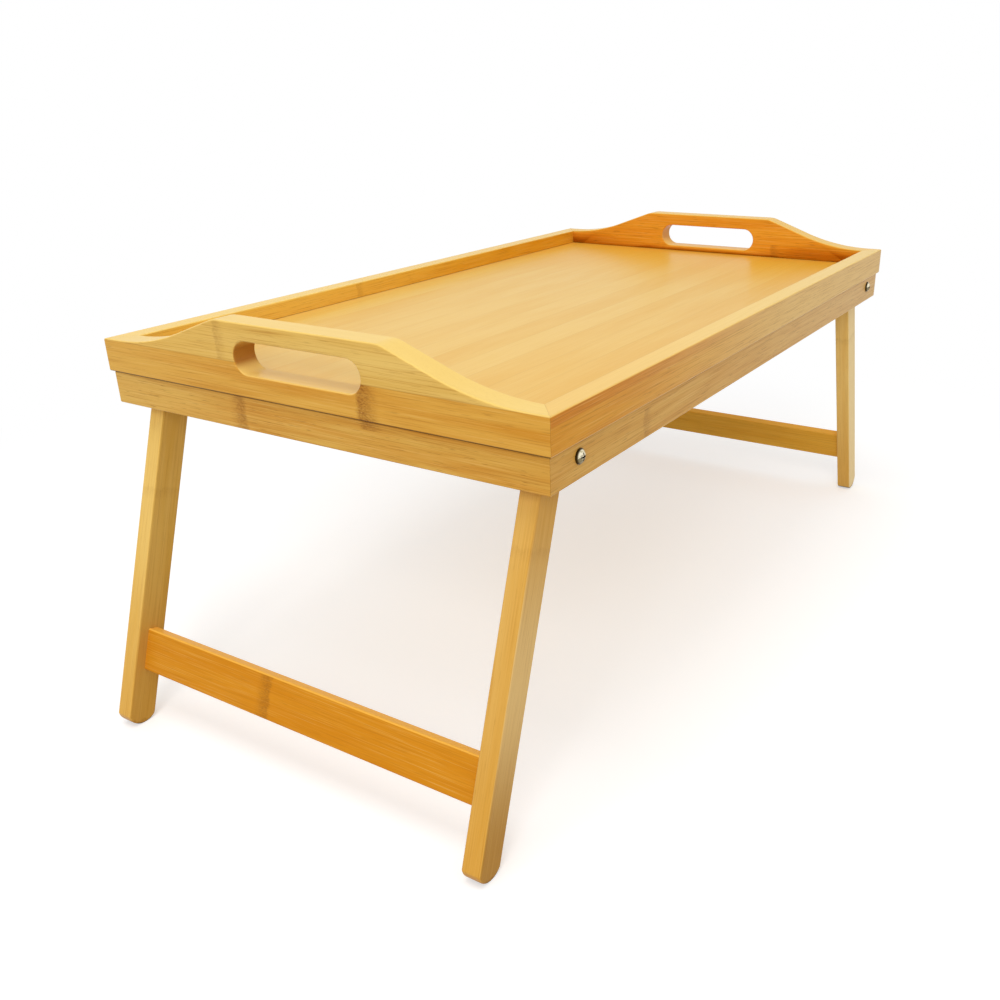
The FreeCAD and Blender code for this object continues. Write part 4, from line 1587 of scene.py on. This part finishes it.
@dataclass
class ApronScrews:
    """Countersunk wood screws under the aprons."""

    copies: PlacedCopies
    pivots: PivotHardware
    inset: float = 4.25
    side_spacing: float = 150.0
    end_spacing: float = 160.0
    shank_radius: float = 1.25
    head_radius: float = 2.6
    tip: float = 3.0
    thread_pitch: float = 1.1
    thread_depth: float = 0.3
    facets: int = 32

    def build(self) -> None:
        """Build and dress the ten screws."""
        finish = PlatedSteel("yellow_zinc", "D9C27A", "B79A52", 0.28).material()
        made = self.copies.make("apron_screw_set", self.screw(), finish, self.places())
        set_out(made, finish, "tray", ["apron_screws"])

    def places(self) -> list[tuple[Vector, Vector]]:
        """Set the screws out: along both sides, then along both ends.

        Returns:
            A point and a turn for each screw.
        """
        side_box = NodeBox.of("side_apron_back")
        end_box = NodeBox.of("end_apron_right")
        spots = [(column * self.side_spacing, side.value * (side_box.high.y - self.inset))
                 for side in Side for column in (-1, 0, 1)]
        spots += [(end.value * (end_box.high.x - self.inset), row * self.end_spacing / 2)
                  for end in End for row in (-1, 1)]
        return [(Vector((x, y, side_box.low.z)), Vector((0, 0, 0))) for x, y in spots]

    def screw(self) -> Object:
        """Turn a threaded screw that points up, its head at the origin.

        Returns:
            The screw.
        """
        length = NodeBox.of("apron_screws").high.z - NodeBox.of("apron_screws").low.z
        core = self.shank_radius - self.thread_depth
        head_height = self.head_radius - self.shank_radius
        profile = [(0.0, 0.0), (self.head_radius, 0.0), (self.shank_radius, head_height)]
        height = head_height + self.thread_pitch
        while height < length - self.tip:
            profile += [(core, height), (self.shank_radius, height + self.thread_pitch / 2)]
            height += self.thread_pitch
        profile += [(core, length - self.tip), (0.0, length)]
        screw = lathed("screw_part", profile, self.facets)
        return carved(screw, self.pivots.cross(0.0))


# --- hidden joinery ---------------------------------------------------------------------
@dataclass
class HiddenDowels:
    """Dowels inside the joints, which stay the frame's own solids."""

    nodes: tuple[str, ...] = ("rim_corner_dowels", "apron_corner_dowels",
                              "stretcher_dowels_left", "stretcher_dowels_right")

    def build(self) -> None:
        """Dress the dowels in plain, unlacquered hardwood."""
        finish = LacqueredBamboo("dowel_wood", Grain.ACROSS_TRAY, body="DFC393", warm="D3B07A",
                                 seed=81.0, roughness=0.7).material()
        for node in self.nodes:
            item = frame["nodes"][node]
            item.data.materials.clear()
            item.data.materials.append(finish)
            log.info("%s: dressed as it stands", node)


# --- studio -----------------------------------------------------------------------------
@dataclass
class Studio:
    """White floor and surround, soft lamps, and the photograph's camera."""

    camera_at: tuple[float, float, float] = (-595.19, -366.83, 357.81)
    yaw: float = math.radians(31.7388)
    pitch: float = math.radians(-23.4038)
    roll: float = math.radians(-0.8539)
    focal_px: float = 995.31
    centre_px: tuple[float, float] = (565.80, 513.11)
    image_px: float = 1000.0
    sensor: float = 36.0
    world_light: float = 0.62
    paper: float = 0.75
    paper_lift: float = 0.42
    paper_fades: tuple[float, float] = (0.40, 0.75)
    key_at: tuple[float, float, float] = (-0.55, -0.1, 1.55)
    key_power: float = 5.0
    key_size: float = 0.6
    fill_at: tuple[float, float, float] = (-2.1, -1.0, 1.55)
    fill_power: float = 21.0
    fill_size: float = 1.0
    aim_height: float = 0.15
    floor_half: float = 4.0

    def build(self) -> None:
        """Set the whole studio up."""
        scene = bpy.context.scene
        scene.view_settings.view_transform = "Standard"
        self.world()
        self.floor()
        self.softbox("key_light", Vector(self.key_at), self.key_size, self.key_power)
        self.softbox("fill_light", Vector(self.fill_at), self.fill_size, self.fill_power)
        self.camera()

    def _white_to_the_eye(self, tree: NodeTree, otherwise: float) -> Node:
        """Give full strength to what the eye or a reflection sees, and another as a light.

        Args:
            tree: the world's or the material's tree.
            otherwise: the strength as a light.

        Returns:
            The strength.
        """
        rays = add_node(tree, "ShaderNodeLightPath")
        seen: Any = 0.0
        for ray in ("Is Camera Ray", "Is Glossy Ray", "Is Transmission Ray"):
            seen = add_node(tree, "ShaderNodeMath", {0: seen, 1: rays.outputs[ray]}, operation="MAXIMUM")
        return add_node(tree, "ShaderNodeMapRange", {"Value": seen, "To Min": otherwise, "To Max": 1.0})

    def world(self) -> None:
        """White surround: full white to the eye, gentler as a light."""
        world = bpy.data.worlds.new("studio")
        world.use_nodes = True
        tree = world.node_tree
        tree.nodes.clear()
        light = add_node(tree, "ShaderNodeBackground", {
            "Color": (1, 1, 1, 1), "Strength": self._white_to_the_eye(tree, self.world_light)})
        add_node(tree, "ShaderNodeOutputWorld", {"Surface": light})
        bpy.context.scene.world = world

    def floor(self) -> None:
        """Pale paper sweep that keeps the table's shadow and runs out into the white surround."""
        half = self.floor_half
        mesh = bpy.data.meshes.new("floor")
        mesh.from_pydata([(-half, -half, 0), (half, -half, 0), (half, half, 0), (-half, half, 0)],
                         [], [(0, 1, 2, 3)])
        floor = linked("floor", mesh)
        material, tree = new_material("white_sweep")
        lift = add_node(tree, "ShaderNodeMath", {
            0: self._white_to_the_eye(tree, 0.0), 1: self.paper_lift}, operation="MULTIPLY")
        paper = add_node(tree, "ShaderNodeBsdfDiffuse", {"Color": (self.paper, self.paper, self.paper, 1)})
        glow = add_node(tree, "ShaderNodeEmission", {"Strength": lift})
        near = add_node(tree, "ShaderNodeAddShader", {0: paper, 1: glow})
        far = add_node(tree, "ShaderNodeEmission", {
            "Strength": self._white_to_the_eye(tree, self.world_light)})
        where = add_node(tree, "ShaderNodeTexCoord")
        away = add_node(tree, "ShaderNodeVectorMath", {0: where.outputs["Object"]}, operation="LENGTH")
        fade = add_node(tree, "ShaderNodeMapRange", {
            "Value": away, "From Min": self.paper_fades[0], "From Max": self.paper_fades[1]},
            interpolation_type="SMOOTHSTEP")
        both = add_node(tree, "ShaderNodeMixShader", {0: fade, 1: near, 2: far})
        add_node(tree, "ShaderNodeOutputMaterial", {"Surface": both})
        mesh.materials.append(material)

    def softbox(self, name: str, at: Vector, size: float, power: float) -> None:
        """Hang a square soft lamp that faces the tray.

        Args:
            name: the lamp's name.
            at: its place, in metres.
            size: its side, in metres.
            power: its power in watts.
        """
        data = bpy.data.lights.new(name, "AREA")
        data.size = size
        data.energy = power
        lamp = linked(name, data)
        lamp.location = at
        aim = Vector((0, 0, self.aim_height)) - at
        lamp.rotation_euler = aim.to_track_quat("-Z", "Y").to_euler()

    def camera(self) -> None:
        """Place the photograph's camera."""
        data = bpy.data.cameras.new("camera")
        data.sensor_width = self.sensor
        data.lens = self.focal_px / self.image_px * self.sensor
        data.shift_x = 0.5 - self.centre_px[0] / self.image_px
        data.shift_y = self.centre_px[1] / self.image_px - 0.5
        data.clip_start = 0.01
        ahead = Vector((math.cos(self.yaw) * math.cos(self.pitch),
                        math.sin(self.yaw) * math.cos(self.pitch), math.sin(self.pitch)))
        level_right = ahead.cross(Vector((0, 0, 1))).normalized()
        level_up = level_right.cross(ahead)
        right = level_right * math.cos(self.roll) + level_up * math.sin(self.roll)
        up = level_up * math.cos(self.roll) - level_right * math.sin(self.roll)
        turn = Matrix((right, up, -ahead)).transposed().to_4x4()
        camera = linked("camera", data)
        camera.matrix_world = Matrix.Translation(Vector(self.camera_at) * MM) @ turn
        bpy.context.scene.camera = camera


def main() -> None:
    """Build the table's pieces and the studio."""
    logging.basicConfig(level=logging.INFO, format="%(message)s")
    copies = PlacedCopies()
    pivots = PivotHardware(copies)
    parts = [TrayRim(), TrayPanel(), ApronFrame(), LegFrame(End.LEFT), LegFrame(End.RIGHT),
             pivots, ApronScrews(copies, pivots), HiddenDowels(), Studio()]
    for part in parts:
        part.build()


if __name__ == "__main__":
    main()
